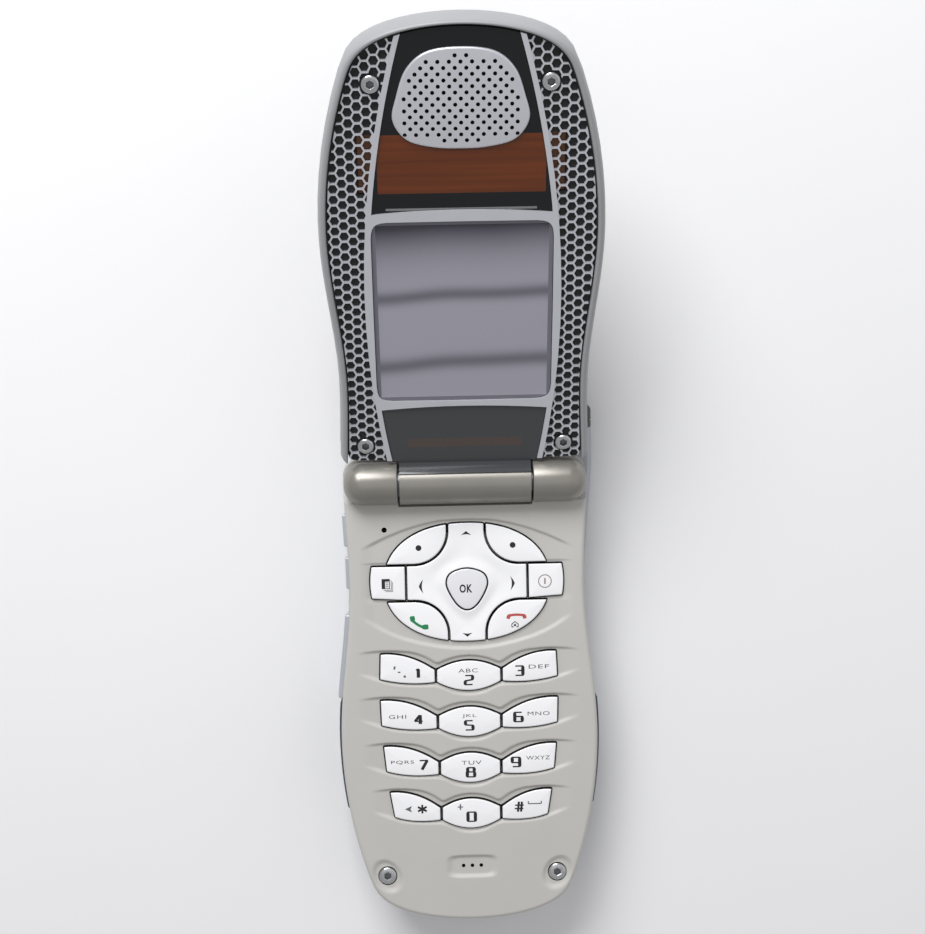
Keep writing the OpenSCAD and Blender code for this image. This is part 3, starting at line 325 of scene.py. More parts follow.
# Every plain finish of the phone: two close tones, the range of roughness, and the grain in
# millimetres. The real grain of sprayed paint and moulded skin is near 0.05 mm, too fine to
# show in a picture this size, so it is drawn three to five times as coarse.
sprayGrain = {"size": 0.18, "height": 0.012, "strength": 0.35, "drift": 9.0}
finishes = {
    # polycarbonate sprayed with matte metallic lacquer: soft, even, hardly any shine
    "matte lacquered polycarbonate": {
        "colour": ("#bcbbb7", "#c3c1bd"), "roughness": (0.5, 0.62), "metallic": 0.05,
        "grain": sprayGrain},
    # the same paint in a cooler silver on the lower shell and the sleeve
    "cool silver lacquer": {
        "colour": ("#a6abb3", "#adb1b8"), "roughness": (0.38, 0.52), "metallic": 0.2,
        "grain": sprayGrain},
    # the lid's lacquer, a neutral silver grey
    "grey lacquered lid plastic": {
        "colour": ("#96979a", "#9fa0a3"), "roughness": (0.44, 0.56), "metallic": 0.1,
        "grain": sprayGrain},
    # die-cast zinc knuckles under satin warm grey paint: brighter streaks of shine
    "satin painted zinc": {
        "colour": ("#88857f", "#928f89"), "roughness": (0.28, 0.36), "metallic": 0.45,
        "grain": {"size": 0.25, "height": 0.006, "strength": 0.25, "drift": 6.0}},
    # vacuum-metallised frame and mesh: bright silver, slightly frosted
    "metallised silver plastic": {
        "colour": ("#d0d1d9", "#dadbe2"), "roughness": (0.3, 0.4), "metallic": 0.5,
        "grain": {"size": 0.2, "height": 0.004, "strength": 0.2, "drift": 5.0}},
    # turned and nickel-plated steel
    "nickel-plated steel": {
        "colour": ("#c9cbce", "#d5d7da"), "roughness": (0.18, 0.3), "metallic": 1.0,
        "grain": {"size": 0.15, "height": 0.003, "strength": 0.2, "drift": 3.0}},
    # the floor and walls of the screws' sockets and the hinge steel seen in its gaps, darkened as
    # painted shade
    "steel darkened by painted shade": {
        "colour": ("#6b6d71", "#7b7d81"), "roughness": (0.35, 0.45), "metallic": 0.9,
        "grain": {"size": 0.15, "height": 0.003, "strength": 0.2, "drift": 1.0}},
    # soft-touch rubber pads, blue-black and dull
    "soft-touch rubber": {
        "colour": ("#353d49", "#3d4552"), "roughness": (0.62, 0.78), "metallic": 0.0,
        "grain": {"size": 0.3, "height": 0.03, "strength": 0.5, "drift": 5.0}},
    # the knob of the antenna: moulded nylon, dark with a low sheen
    "moulded black nylon": {
        "colour": ("#282b30", "#303339"), "roughness": (0.36, 0.5), "metallic": 0.0,
        "grain": {"size": 0.3, "height": 0.015, "strength": 0.3, "drift": 4.0}},
    # silver-painted keys of the flank
    "silver painted key": {
        "colour": ("#b4b9c0", "#bdc1c7"), "roughness": (0.3, 0.4), "metallic": 0.35,
        "grain": {"size": 0.2, "height": 0.006, "strength": 0.25, "drift": 5.0}},
    # matte black moulded plastic behind the keys and the mesh
    "black moulded plastic": {
        "colour": ("#131416", "#191a1c"), "roughness": (0.55, 0.7), "metallic": 0.0,
        "grain": {"size": 0.3, "height": 0.015, "strength": 0.3, "drift": 4.0}},
    # glass-fibre board under green solder mask
    "solder-masked board": {
        "colour": ("#1c6140", "#237048"), "roughness": (0.3, 0.45), "metallic": 0.0,
        "grain": {"size": 0.4, "height": 0.01, "strength": 0.3, "drift": 4.0}},
    # silicone mat, milky and soft
    "milky silicone": {
        "colour": ("#dddbd4", "#e6e4de"), "roughness": (0.5, 0.62), "metallic": 0.0,
        "grain": {"size": 0.4, "height": 0.01, "strength": 0.3, "drift": 6.0}},
    # the battery's printed film sleeve
    "dark printed film": {
        "colour": ("#35383b", "#3f4245"), "roughness": (0.32, 0.44), "metallic": 0.0,
        "grain": {"size": 0.6, "height": 0.01, "strength": 0.2, "drift": 8.0}},
    # copper-brown polyimide film of the ribbon behind the earpiece
    "copper-brown polyimide": {
        "colour": ("#563012", "#6d401c"), "roughness": (0.25, 0.4), "metallic": 0.1,
        "grain": {"size": 0.5, "height": 0.01, "strength": 0.3, "drift": 1.5}},
}


def plainFinish(name):
    spec = finishes[name]
    material, tree, shader = newFinish(name, spec["colour"][0], spec["roughness"][0],
                                       spec["metallic"])
    addGrain(tree, shader, spec["colour"], spec["roughness"], spec["grain"])
    return material


stock = {name: plainFinish(name) for name in finishes}


refraction = {"polycarbonate": 1.58, "acrylic": 1.49}

# White polycarbonate caps printed from behind and coated with clear gloss: a soft white
# body under a sharp thin shine, a touch of lavender in the shade.
keyFinish = {"colour": ("#f0f0f4", "#f6f6f9"), "middle": ("#dedee4", "#e6e6ea"),
             "roughness": 0.34, "coat": 0.55, "coatRoughness": 0.12, "ripple": 7.0}


def makeKeyFinish(name, colour):
    material, tree, shader = newFinish(name, colour[0], keyFinish["roughness"])
    shader.inputs["Coat Weight"].default_value = keyFinish["coat"]
    shader.inputs["Coat Roughness"].default_value = keyFinish["coatRoughness"]
    shader.inputs["IOR"].default_value = refraction["polycarbonate"]
    addTone(tree, shader, colour, keyFinish["ripple"], 1.0)
    return material


stock["key"] = makeKeyFinish("gloss coated white polycarbonate", keyFinish["colour"])
stock["middle key"] = makeKeyFinish("gloss coated pearl polycarbonate", keyFinish["middle"])


# Printed inks, laid over the coat: flat, opaque and slightly satin, a little uneven.
inks = {"black ink": ("#15151a", "#202026"), "grey ink": ("#55565c", "#66676d"),
        "green ink": ("#16794a", "#1f8a56"), "red ink": ("#b04a45", "#bf5650"),
        "brown ink": ("#83746c", "#918179")}
inkFinish = {"roughness": 0.45, "patch": 0.4}


def makeInk(name):
    material, tree, shader = newFinish(name, inks[name][0], inkFinish["roughness"])
    addTone(tree, shader, inks[name], inkFinish["patch"], 2.0)
    return material


for ink in inks:
    stock[ink] = makeInk(ink)


# The lid's own coordinates in millimetres: x, the distance d from the hinge, the height n.
def lidCoordinates(tree):
    place = addNode(tree, "ShaderNodeTexCoord").outputs["Object"]
    turned = addNode(tree, "ShaderNodeMapping", {"vector_type": "TEXTURE",
                     "Location": (0, hingeY * mm, phone["axisHeight"] * mm),
                     "Rotation": (lidTilt, 0, 0), "Scale": (mm, mm, mm)}, {"Vector": place})
    return turned.outputs["Vector"]


# One inside a rectangle of x and d, zero outside it.
def insideBox(tree, x, d, middle, half):
    inX = addNode(tree, "ShaderNodeMath", {"operation": "COMPARE", 1: middle[0], 2: half[0]},
                  {0: x})
    inD = addNode(tree, "ShaderNodeMath", {"operation": "COMPARE", 1: middle[1], 2: half[1]},
                  {0: d})
    both = addNode(tree, "ShaderNodeMath", {"operation": "MULTIPLY"},
                   {0: inX.outputs[0], 1: inD.outputs[0]})
    return both.outputs[0]


# Smoked acrylic, printed black behind: near black under a sharp gloss. Behind the upper
# one a brown ribbon shows as a band with fine lines along x, under it a thin grey bar. The
# lower one is greyer, with a faint brown trace of contacts behind it. The two stretches
# turn round noise into those lines and contacts, per millimetre of x, d and n.
smokedWindow = {"dark": "#0e1013", "ribbon": "#783913", "ribbonDark": "#4a220d",
                "ribbonMiddle": (0.0, 61.1), "ribbonHalf": (14.25, 5.05), "lines": 0.9,
                "bar": "#77797a", "barMiddle": (-0.1, 53.25), "barHalf": (12.9, 0.2),
                "low": "#424447", "lowMiddle": (0.0, 8.0), "lowHalf": (20.0, 8.0),
                "trace": "#5a463b", "traceMiddle": (0.0, 8.4), "traceHalf": (10.5, 0.9),
                "lineStretch": 0.03, "contactStretch": (2.6, 0.5, 0.1), "roughness": 0.1}


def makeSmokedWindow():
    spec = smokedWindow
    material, tree, shader = newFinish("smoked acrylic window", spec["dark"], spec["roughness"])
    shader.inputs["IOR"].default_value = refraction["acrylic"]
    place = lidCoordinates(tree)
    split = addNode(tree, "ShaderNodeSeparateXYZ", links={0: place})
    x, d = split.outputs[0], split.outputs[1]
    long = addNode(tree, "ShaderNodeMapping", {
                   "Scale": (spec["lineStretch"], 1 / spec["lines"], 1)}, {"Vector": place})
    lines = addNode(tree, "ShaderNodeTexNoise", {"Scale": 1.0, "Detail": 3.0},
                    {"Vector": long.outputs["Vector"]})
    brown = addNode(tree, "ShaderNodeMix", {"data_type": "RGBA", 6: linear(spec["ribbonDark"]),
                    7: linear(spec["ribbon"])}, {0: lines.outputs["Fac"]})
    ribbon = addNode(tree, "ShaderNodeMix", {"data_type": "RGBA", 6: linear(spec["dark"])},
                     {0: insideBox(tree, x, d, spec["ribbonMiddle"], spec["ribbonHalf"]),
                      7: brown.outputs[2]})
    bar = addNode(tree, "ShaderNodeMix", {"data_type": "RGBA", 7: linear(spec["bar"])},
                  {0: insideBox(tree, x, d, spec["barMiddle"], spec["barHalf"]),
                   6: ribbon.outputs[2]})
    fine = addNode(tree, "ShaderNodeMapping", {"Scale": spec["contactStretch"]},
                   {"Vector": place})
    ticks = addNode(tree, "ShaderNodeTexNoise", {"Scale": 1.0, "Detail": 2.0},
                    {"Vector": fine.outputs["Vector"]})
    trace = addNode(tree, "ShaderNodeMath", {"operation": "MULTIPLY"},
                    {0: insideBox(tree, x, d, spec["traceMiddle"], spec["traceHalf"]),
                     1: ticks.outputs["Fac"]})
    lower = addNode(tree, "ShaderNodeMix", {"data_type": "RGBA", 6: linear(spec["low"]),
                    7: linear(spec["trace"])}, {0: trace.outputs[0]})
    whole = addNode(tree, "ShaderNodeMix", {"data_type": "RGBA"},
                    {0: insideBox(tree, x, d, spec["lowMiddle"], spec["lowHalf"]),
                     6: bar.outputs[2], 7: lower.outputs[2]})
    tree.links.new(whole.outputs[2], shader.inputs["Base Color"])
    return material


stock["window"] = makeSmokedWindow()


# A reflective liquid-crystal screen, switched off, under clear acrylic: grey mauve with a
# darker border. Soft dark bands run across it, painted reflections in the acrylic: each is a
# bell curve of d about a line that slopes and wavers a little with x.
screenGlass = {"pale": "#a09eaa", "deep": "#3e3c47", "border": "#716f7a",
               "middle": (0.0, 34.1), "half": (14.95, 16.3), "roughness": 0.2,
               "slope": 0.035, "waver": 1.5, "waverStretch": (0.06, 0.02, 0.02),
               "reflectionBands": ((24.6, 1.5, 0.65), (37.6, 1.3, 0.65), (53.5, 7.0, 1.25))}


def makeScreenGlass():
    spec = screenGlass
    material, tree, shader = newFinish("liquid crystal under acrylic", spec["pale"],
                                       spec["roughness"])
    shader.inputs["IOR"].default_value = refraction["acrylic"]
    place = lidCoordinates(tree)
    split = addNode(tree, "ShaderNodeSeparateXYZ", links={0: place})
    x, d = split.outputs[0], split.outputs[1]

    def mathNode(operation, a, b):
        given = {i: v for i, v in enumerate((a, b)) if isinstance(v, (int, float))}
        linked = {i: v for i, v in enumerate((a, b)) if i not in given}
        return addNode(tree, "ShaderNodeMath", {"operation": operation, **given},
                       linked).outputs[0]

    broad = addNode(tree, "ShaderNodeMapping", {"Scale": spec["waverStretch"]},
                    {"Vector": place})
    waver = addNode(tree, "ShaderNodeTexNoise", {"Scale": 1.0, "Detail": 0.0},
                    {"Vector": broad.outputs["Vector"]})
    level = mathNode("SUBTRACT", d, mathNode("MULTIPLY", x, spec["slope"]))
    level = mathNode("ADD", level, mathNode("MULTIPLY", waver.outputs["Fac"], spec["waver"]))
    reflectionShade = 0.0
    # Each band darkens the screen's colour as a painted reflection.
    for at, wide, depth in spec["reflectionBands"]:
        off = mathNode("DIVIDE", mathNode("SUBTRACT", level, at + spec["waver"] / 2), wide)
        square = mathNode("MULTIPLY", off, off)
        bell = mathNode("POWER", math.e, mathNode("MULTIPLY", square, -1.0))
        reflectionShade = mathNode("ADD", mathNode("MULTIPLY", bell, depth), reflectionShade)
    tone = addNode(tree, "ShaderNodeMix", {"data_type": "RGBA", 6: linear(spec["pale"]),
                   7: linear(spec["deep"])}, {0: reflectionShade})
    whole = addNode(tree, "ShaderNodeMix", {"data_type": "RGBA", 6: linear(spec["border"])},
                    {0: insideBox(tree, x, d, spec["middle"], spec["half"]),
                     7: tone.outputs[2]})
    tree.links.new(whole.outputs[2], shader.inputs["Base Color"])
    return material


stock["screen"] = makeScreenGlass()
print("finishes made:", len(stock))

# The camera's place in millimetres, its turn in degrees, and the focal length in pixels.
view = {"place": (-5.329, 67.95, 295.256), "turn": (-4.577, -1.096, -1.143),
        "focalPixels": 1503.1, "longSide": 934, "sensor": 36.0}


def makeCamera():
    data = bpy.data.cameras.new("camera")
    data.sensor_width = view["sensor"]
    data.lens = view["focalPixels"] * view["sensor"] / view["longSide"]
    data.clip_start, data.clip_end = 0.01, 10
    camera = bpy.data.objects.new("camera", data)
    bpy.context.scene.collection.objects.link(camera)
    rx, ry, rz = (math.radians(a) for a in view["turn"])
    turn = Matrix.Rotation(rz, 4, "Z") @ Matrix.Rotation(ry, 4, "Y") @ Matrix.Rotation(rx, 4, "X")
    camera.matrix_world = Matrix.Translation(Vector(view["place"]) * mm) @ turn
    bpy.context.scene.camera = camera


makeCamera()

# Soft boxes: where each stands in metres, its side, and its power in watts. All aim at the
# phone.
lights = {
    "key": {"place": (-0.16, 0.50, 0.42), "size": 0.34, "power": 3.8},
    "fill": {"place": (0.60, 0.10, 0.50), "size": 0.8, "power": 0.5},
    "top": {"place": (-0.05, 0.05, 0.95), "size": 0.6, "power": 0.45},
}
room = {"light": 0.4, "background": "#ffffff", "aim": (0, 0.03, 0.01)}


def makeLights():
    for name, spec in lights.items():
        data = bpy.data.lights.new(name, "AREA")
        data.shape, data.size, data.energy = "SQUARE", spec["size"], spec["power"]
        lamp = bpy.data.objects.new(name, data)
        bpy.context.scene.collection.objects.link(lamp)
        lamp.location = spec["place"]
        aim = Vector(room["aim"]) - Vector(spec["place"])
        lamp.rotation_euler = aim.to_track_quat("-Z", "Y").to_euler()
    world = bpy.data.worlds.new("studio")
    world.use_nodes = True
    tree = world.node_tree
    tree.nodes["Background"].inputs["Color"].default_value = linear(room["background"])
    tree.nodes["Background"].inputs["Strength"].default_value = room["light"]
    bpy.context.scene.world = world
    bpy.context.scene.view_settings.view_transform = "Standard"


makeLights()


# A plain sheet of pale paper under the phone, in metres.
paper = {"half": 1.5, "top": -0.0002, "colour": ("#ebebed", "#eeeef0"),
         "roughness": (0.85, 0.95),
         "grain": {"size": 0.8, "height": 0.05, "strength": 0.1, "drift": 60.0}}


def makeFloor():
    s = np.linspace(-paper["half"], paper["half"], 2)
    x, y = np.meshgrid(s, s)
    mesh = newMesh("floor", np.stack([x.ravel(), y.ravel(), np.full(4, paper["top"])], -1),
                   [[(0, 1, 3, 2)]])
    floor = bpy.data.objects.new("floor", mesh)
    bpy.context.scene.collection.objects.link(floor)
    material, tree, shader = newFinish("pale paper", paper["colour"][0],
                                       paper["roughness"][0])
    addGrain(tree, shader, paper["colour"], paper["roughness"], paper["grain"])
    mesh.materials.append(material)


makeFloor()
print("camera, lights and floor made")

# The keypad's plan: the cluster round the direction key, then four rows of three keys. The
# last line gives the outer keys' heights at their shoulder and foot, and half way along.
keypad = {
    "navAt": 19.1, "ovalA": 15.7, "ovalB": 11.3, "ovalPower": 2.2, "armX": 3.35, "armY": 3.25,
    "armLength": 11.3, "armRound": 6.6, "sideKeyX": 18.0, "rowAt": 37.0, "rowPitch": 8.92,
    "padHalf": 16.9, "padWidestAt": 40.0, "padRadius": 130.0, "midHalf": 6.05, "midStep": 0.17,
    "gap": 0.35, "lens": 2.9, "lensSide": 1.2,
    "shoulder": -4.4, "shoulderWay": -3.8, "heel": 0.45, "heelWay": 1.33,
}


def rowCentre(row):
    return keypad["rowAt"] + row * keypad["rowPitch"]


def padEdge(d):
    return keypad["padHalf"] - (d - keypad["padWidestAt"]) ** 2 / (2 * keypad["padRadius"])


def midHalf(row):
    return keypad["midHalf"] - keypad["midStep"] * row


# A middle number key: two parabolas, over and under, with short straight ends.
def middleKeyLoop(row):
    h, s, lens, at = midHalf(row), keypad["lensSide"], keypad["lens"], rowCentre(row)
    top = bow([-h, -s], [0, -lens], [h, -s])
    foot = bow([h, s], [0, lens], [-h, s])
    return np.concatenate([top, foot]) + [0, at]


# An outer number key: a high shoulder outside, a straight slanting outer edge.
def outerKeyLoop(row, hand):
    at, inner = rowCentre(row), midHalf(row) + keypad["gap"]
    high, low, s = keypad["shoulder"], keypad["heel"], keypad["lensSide"]
    top, foot = padEdge(at + high), padEdge(at + low)
    way = (inner + top) / 2
    loop = np.concatenate([
        bow([inner, -s], [way, keypad["shoulderWay"]], [top, high]),
        bow([foot, low], [way, keypad["heelWay"]], [inner, s])]) + [0, at]
    return loop if hand > 0 else (loop * [-1, 1])[::-1]


def ovalRun(fromAngle, toAngle, steps):  # a superellipse about the middle of the cluster
    a = np.radians(np.linspace(fromAngle, toAngle, steps))
    power = 2 / keypad["ovalPower"]
    return np.stack([keypad["ovalA"] * np.abs(np.cos(a)) ** power,
                     keypad["ovalB"] * np.abs(np.sin(a)) ** power], -1)


def ovalAngle(value, half, turn):  # the angle where the oval passes x or y
    part = (value / half) ** (keypad["ovalPower"] / 2)
    return math.degrees(turn(part))


# A corner key of the cluster: a hollow arc towards the middle, the oval outside.
def cornerKeyLoop(sx, sy):
    x, y = keypad["armX"] + keypad["gap"], keypad["armY"] + keypad["gap"]
    r = keypad["armRound"] - keypad["gap"]
    a = np.radians(np.linspace(180, 270, 30))
    inner = np.stack([x + r + r * np.cos(a), y + r + r * np.sin(a)], -1)
    outer = ovalRun(ovalAngle(y, keypad["ovalB"], math.asin),
                    ovalAngle(x, keypad["ovalA"], math.acos), 40)
    loop = np.concatenate([inner, outer]) * [sx, sy]
    return (loop if sx * sy > 0 else loop[::-1]) + [0, keypad["navAt"]]


# The direction key: four arms with hollow arcs between them, the oval over and under.
def navLoop():
    x, y, r = keypad["armX"], keypad["armY"], keypad["armRound"]
    a = np.radians(np.linspace(270, 180, 30))
    arc = np.stack([x + r + r * np.cos(a), y + r + r * np.sin(a)], -1)
    cap = ovalRun(ovalAngle(x, keypad["ovalA"], math.acos), 90, 12)
    quarter = np.concatenate([[[keypad["armLength"], y]], arc, cap])
    top = np.concatenate([quarter, quarter[-2::-1] * [-1, 1]])
    return np.concatenate([top, top[::-1] * [1, -1]]) + [0, keypad["navAt"]]


# A closed Catmull-Rom curve through the points, each span in equal steps.
def smoothLoop(p, steps=10):
    p = np.array(p, float)
    a, b, c, d = np.roll(p, 1, 0), p, np.roll(p, -1, 0), np.roll(p, -2, 0)
    t = np.linspace(0, 1, steps, endpoint=False)[None, :, None]
    a, b, c, d = (v[:, None] for v in (a, b, c, d))
    run = b + (c - a) * t / 2 + (2 * a - 5 * b + 4 * c - d) * t ** 2 / 2 \
        + (3 * b - a - 3 * c + d) * t ** 3 / 2
    return run.reshape(-1, 2)


def okLoop():  # the middle key: a shield with a round foot
    return smoothLoop([[0, -2.6], [2.95, -1.75], [3.85, 0], [3.25, 2.05], [1.7, 4.4],
                       [0, 5.25], [-1.7, 4.4], [-3.25, 2.05], [-3.85, 0],
                       [-2.95, -1.75]]) + [0, keypad["navAt"]]


def sideKeyLoop(hand):  # the two square keys beside the cluster, their outer edge bowed
    x, y = keypad["armLength"] + keypad["gap"], keypad["armY"]
    edge = bow([keypad["sideKeyX"], -y], [keypad["sideKeyX"] + 0.3, -0.2],
               [keypad["sideKeyX"], y - 0.4])
    loop = np.concatenate([[[x, -y]], edge, [[x, y]]])
    return (loop if hand > 0 else (loop * [-1, 1])[::-1]) + [0, keypad["navAt"]]


keyLoops = {
    "soft_key_left": cornerKeyLoop(-1, -1), "soft_key_right": cornerKeyLoop(1, -1),
    "call_key": cornerKeyLoop(-1, 1), "end_key": cornerKeyLoop(1, 1),
    "menu_key": sideKeyLoop(-1), "power_key": sideKeyLoop(1), "ok_key": okLoop(),
}
for row, names in enumerate((("key_1", "key_2", "key_3"), ("key_4", "key_5", "key_6"),
                             ("key_7", "key_8", "key_9"), ("key_star", "key_0", "key_hash"))):
    keyLoops[names[0]] = outerKeyLoop(row, -1)
    keyLoops[names[1]] = middleKeyLoop(row)
    keyLoops[names[2]] = outerKeyLoop(row, 1)

# Heights of a cap over the table; under "line" near its outline the cap is black, as painted shade
# of the gap round the key.
keyCap = {"top": 13.98, "foot": 11.45, "crown": 0.13, "reach": 2.6, "fillet": 0.32,
          "corner": 0.16, "points": 240, "black": 13.62, "line": 13.88, "gapShadeReach": 0.2,
          "skirtShadeDrop": 0.4}


# Height of a cap: a crown that rises with the distance from the edge, less a quarter round.
def capHeight(distance, spec):
    rise = 1 - (1 - np.clip(distance / spec["reach"], 0, 1)) ** 2
    inside = np.clip(spec["fillet"] - distance, 0, spec["fillet"])
    return spec["top"] + spec["crown"] * rise - spec["fillet"] \
        + np.sqrt(np.clip(spec["fillet"] ** 2 - inside ** 2, 0, None))


# A cap as rings that shrink to the middle, then a skirt down to the foot and a floor.
def capMesh(loop, spec, place=onBase):
    loop = softLoop(loop, spec["points"], spec["corner"])
    middle = (loop.max(0) + loop.min(0)) / 2
    shrink = np.array([1, .996, .99, .982, .974, .965, .955, .944, .932, .92, .905, .89, .87,
                       .85, .82, .78, .72, .64, .54, .42, .28, .14, 0])
    rings = middle + (loop - middle) * shrink[:, None, None]
    n = len(loop)
    heights = capHeight(loopDistance(rings.reshape(-1, 2), loop), spec).reshape(-1, n)
    heights[-1] = heights[-1].mean()
    top = np.concatenate([rings, heights[..., None]], -1)
    skirt = [np.column_stack([loop, np.full(n, z)]) for z in (spec["foot"], spec["black"])]
    floor = np.column_stack([np.repeat(middle[None], n, 0), np.full(n, spec["foot"])])
    points = np.concatenate([floor[None], skirt[0][None], skirt[1][None], top]).reshape(-1, 3)
    mesh = newMesh("cap", place(points), [gridQuads(len(shrink) + 3, n)])
    tidyMesh(mesh, 0.002)
    return mesh


# The sides of the caps and the foot of their round edges are coloured black as painted shade,
# so the lines between the keys stay dark.
def paintKeyGapShade(mesh, height, loops):
    centres = perFace(mesh, "center") / mm
    flat = np.stack([centres[:, 0], hingeY - centres[:, 1]], -1)
    near = np.min([loopDistance(flat, loop) for loop in loops], 0) < keyCap["gapShadeReach"]
    low = (centres[:, 2] < height) \
        & (near | (centres[:, 2] < height - keyCap["skirtShadeDrop"]))
    mesh.polygons.foreach_set("material_index", low.astype(np.int32))


for name, loop in keyLoops.items():
    mesh = capMesh(loop, keyCap)
    paintKeyGapShade(mesh, keyCap["line"], [softLoop(loop, keyCap["points"], keyCap["corner"])])
    white = stock["middle key" if name == "ok_key" else "key"]
    newPiece(name + "_cap", mesh, [white, stock["black moulded plastic"]], name,
             [name], 50)
print("key caps made:", len(keyLoops))

navCap = {"top": 13.98, "foot": 11.85, "fillet": 0.3, "innerFillet": 0.16, "dish": 0.2,
          "rim": 0.12, "rimReach": 2.2, "hole": 0.2, "line": 13.86, "angles": 360}

navOuter = softLoop(navLoop(), 900, 0.12)
navInner = softLoop(okLoop(), 400)
navInner = navInner + loopNormals(navInner) * navCap["hole"]


# Height of the direction key: the top sinks in a broad dish and rises again in a rim round
# the hole, with a quarter round at both edges.
def navHeight(flat):
    spec = navCap
    outside = loopDistance(flat, navOuter[::2])
    hole = loopDistance(flat, navInner[::2])
    share = hole / (hole + outside + 1e-9)
    height = spec["top"] - spec["dish"] * np.sin(np.pi * np.clip(share, 0, 1) ** 0.75) ** 2 \
        + spec["rim"] * (1 - ease(hole / spec["rimReach"]))
    for distance, r in ((outside, spec["fillet"]), (hole, spec["innerFillet"])):
        drop = np.clip(r - distance, 0, r)
        height -= r - np.sqrt(np.clip(r * r - drop * drop, 0, None))
    return height


# The direction key between its two loops: at each angle the radius runs from the hole to
# the outline.
def makeNavCap():
    spec, middle = navCap, np.array([0, keypad["navAt"] + 0.9])
    outer, inner = navOuter, navInner

    def radiusAt(loop, angles):
        r = loop - middle
        turn = np.arctan2(r[:, 1], r[:, 0])
        order = np.argsort(turn)
        return np.interp(angles, turn[order], np.linalg.norm(r, axis=1)[order],
                         period=2 * math.pi)

    own = np.arctan2(*(outer[::6] - middle).T[::-1])
    angles = np.sort(np.concatenate([np.linspace(-math.pi, math.pi, spec["angles"],
                                                 endpoint=False), own]))
    ray = np.stack([np.cos(angles), np.sin(angles)], -1)
    near, far = radiusAt(inner, angles), radiusAt(outer, angles)
    inset = np.array([0, .01, .03, .06, .1, .15, .21, .3, .45, .7, 1.0])
    part = np.linspace(0, 1, 22)[1:-1]
    width = far - near
    radii = np.concatenate([near[None] + inset[:, None],
                            near[None] + 1.0 + (width[None] - 2.0) * part[:, None],
                            far[None] - inset[::-1, None]])
    plan = middle + radii[..., None] * ray
    height = navHeight(plan.reshape(-1, 2))
    top = np.concatenate([plan, height.reshape(plan.shape[:2])[..., None]], -1)
    inWall = np.concatenate([top[0, :, :2], np.full((len(angles), 1), spec["foot"])], -1)
    outWall = np.concatenate([top[-1, :, :2], np.full((len(angles), 1), spec["foot"])], -1)
    points = np.concatenate([inWall[None], top, outWall[None], inWall[None]])
    mesh = newMesh("nav", onBase(points.reshape(-1, 3)), [gridQuads(len(points), len(angles))])
    tidyMesh(mesh, 0.001)
    # The direction key's outer edge and the edge of its hole take the same painted shade.
    paintKeyGapShade(mesh, spec["line"], [navOuter[::2], navInner[::2]])
    newPiece("nav_cap", mesh, [stock["key"], stock["black moulded plastic"]], "nav_key",
             ["nav_key"], 50)


makeNavCap()
print("direction key made")

faceShell = {
    "seam": 7.0, "round": 0.8, "lean": 0.45, "scoop": 0.4, "slope": 0.6, "opening": 0.2,
    "wall": 1.5, "thickness": 1.6, "rear": -4.6, "rearCorner": 3.5, "shelf": 10.7,
    "cavity": 6.8, "cavityCorner": 3.4, "saddle": 4.05, "trough": 4.75, "troughHalf": 12.6,
    "mic": (0.0, 74.2), "micPitch": 1.7, "micHole": 0.36,
    "lightHole": (-15.4, 8.9), "lightRadius": 0.5,
    "screws": (16.3, 75.8), "screwHead": 3.3, "screwSink": 1.1,
    "band": 2.6, "rows": 60, "cutFloor": 11.0, "cutTop": 16, "beyond": 30,
}

# Half profiles of the scoops, as |x| against d from the row's or the cluster's middle.
rowScoop = {
    "top": [(0, -4.1), (1.7, -3.98), (3.4, -3.62), (4.8, -3.1), (5.6, -2.72), (6.2, -2.72),
            (7.0, -3.25), (8.25, -4.0), (9.8, -4.62), (11.4, -5.0), (14, -5.22), (16.3, -5.26),
            (18, -5.15), (20.2, -4.95), (23, -4.6)],
    "foot": [(0, 4.0), (1.6, 3.9), (3.0, 3.55), (4.3, 2.9), (5.3, 2.45), (6.6, 2.16), (9, 2.15),
             (11.4, 2.08), (13.3, 1.9), (15, 1.62), (17.3, 0.9), (19, 0.3), (20.8, -0.35),
             (23, -1.3)],
    "fade": (17.6, 21.6)}
clusterScoop = {
    "top": [(0, -12.25), (4.8, -12.05), (6.5, -11.75), (8.5, -11.3), (10.5, -10.75),
            (12.5, -10.1), (15.3, -9.0), (17, -8.2), (19.6, -6.9), (23, -5)],
    "foot": [(0, 13.05), (3, 12.95), (5.7, 12.6), (9, 11.9), (12.3, 10.95), (14.5, 10.05),
             (16.6, 8.95), (19.7, 6.9), (23, 4.6)],
    "fade": (17.2, 20.4)}

# The smaller hollows, as shares of the scoops' depth: beside the menu and power keys, at
# the microphone, and round the screws.
sideHollow = {"start": 13.5, "rise": 2, "end": 17.5, "fall": 3.2, "over": 3.95,
              "overSlope": 0.4, "under": 4.1, "underSlope": 1.6, "depth": 0.45}
micPocket = {"half": (5.15, 2.3), "power": 5, "slope": 3.2, "depth": 1.3}
screwPocket = {"radius": 3.1, "slope": 1.1, "squash": 0.9, "lean": 0.25, "depth": 1.2}


# Depth of one scoop: a smooth slope in from its top line and out at its foot line, fading
# towards the tips of its wings.
def scoopDepth(x, d, at, spec, stretch=1.0):
    x = np.abs(x) / stretch
    top = np.interp(x, *np.array(spec["top"]).T)
    foot = np.interp(x, *np.array(spec["foot"]).T)
    slope = faceShell["slope"]
    inside = ease((d - at - top) / slope) * ease((foot - d + at) / (slope * 1.25))
    return inside * (1 - ease((x - spec["fade"][0]) / (spec["fade"][1] - spec["fade"][0])))


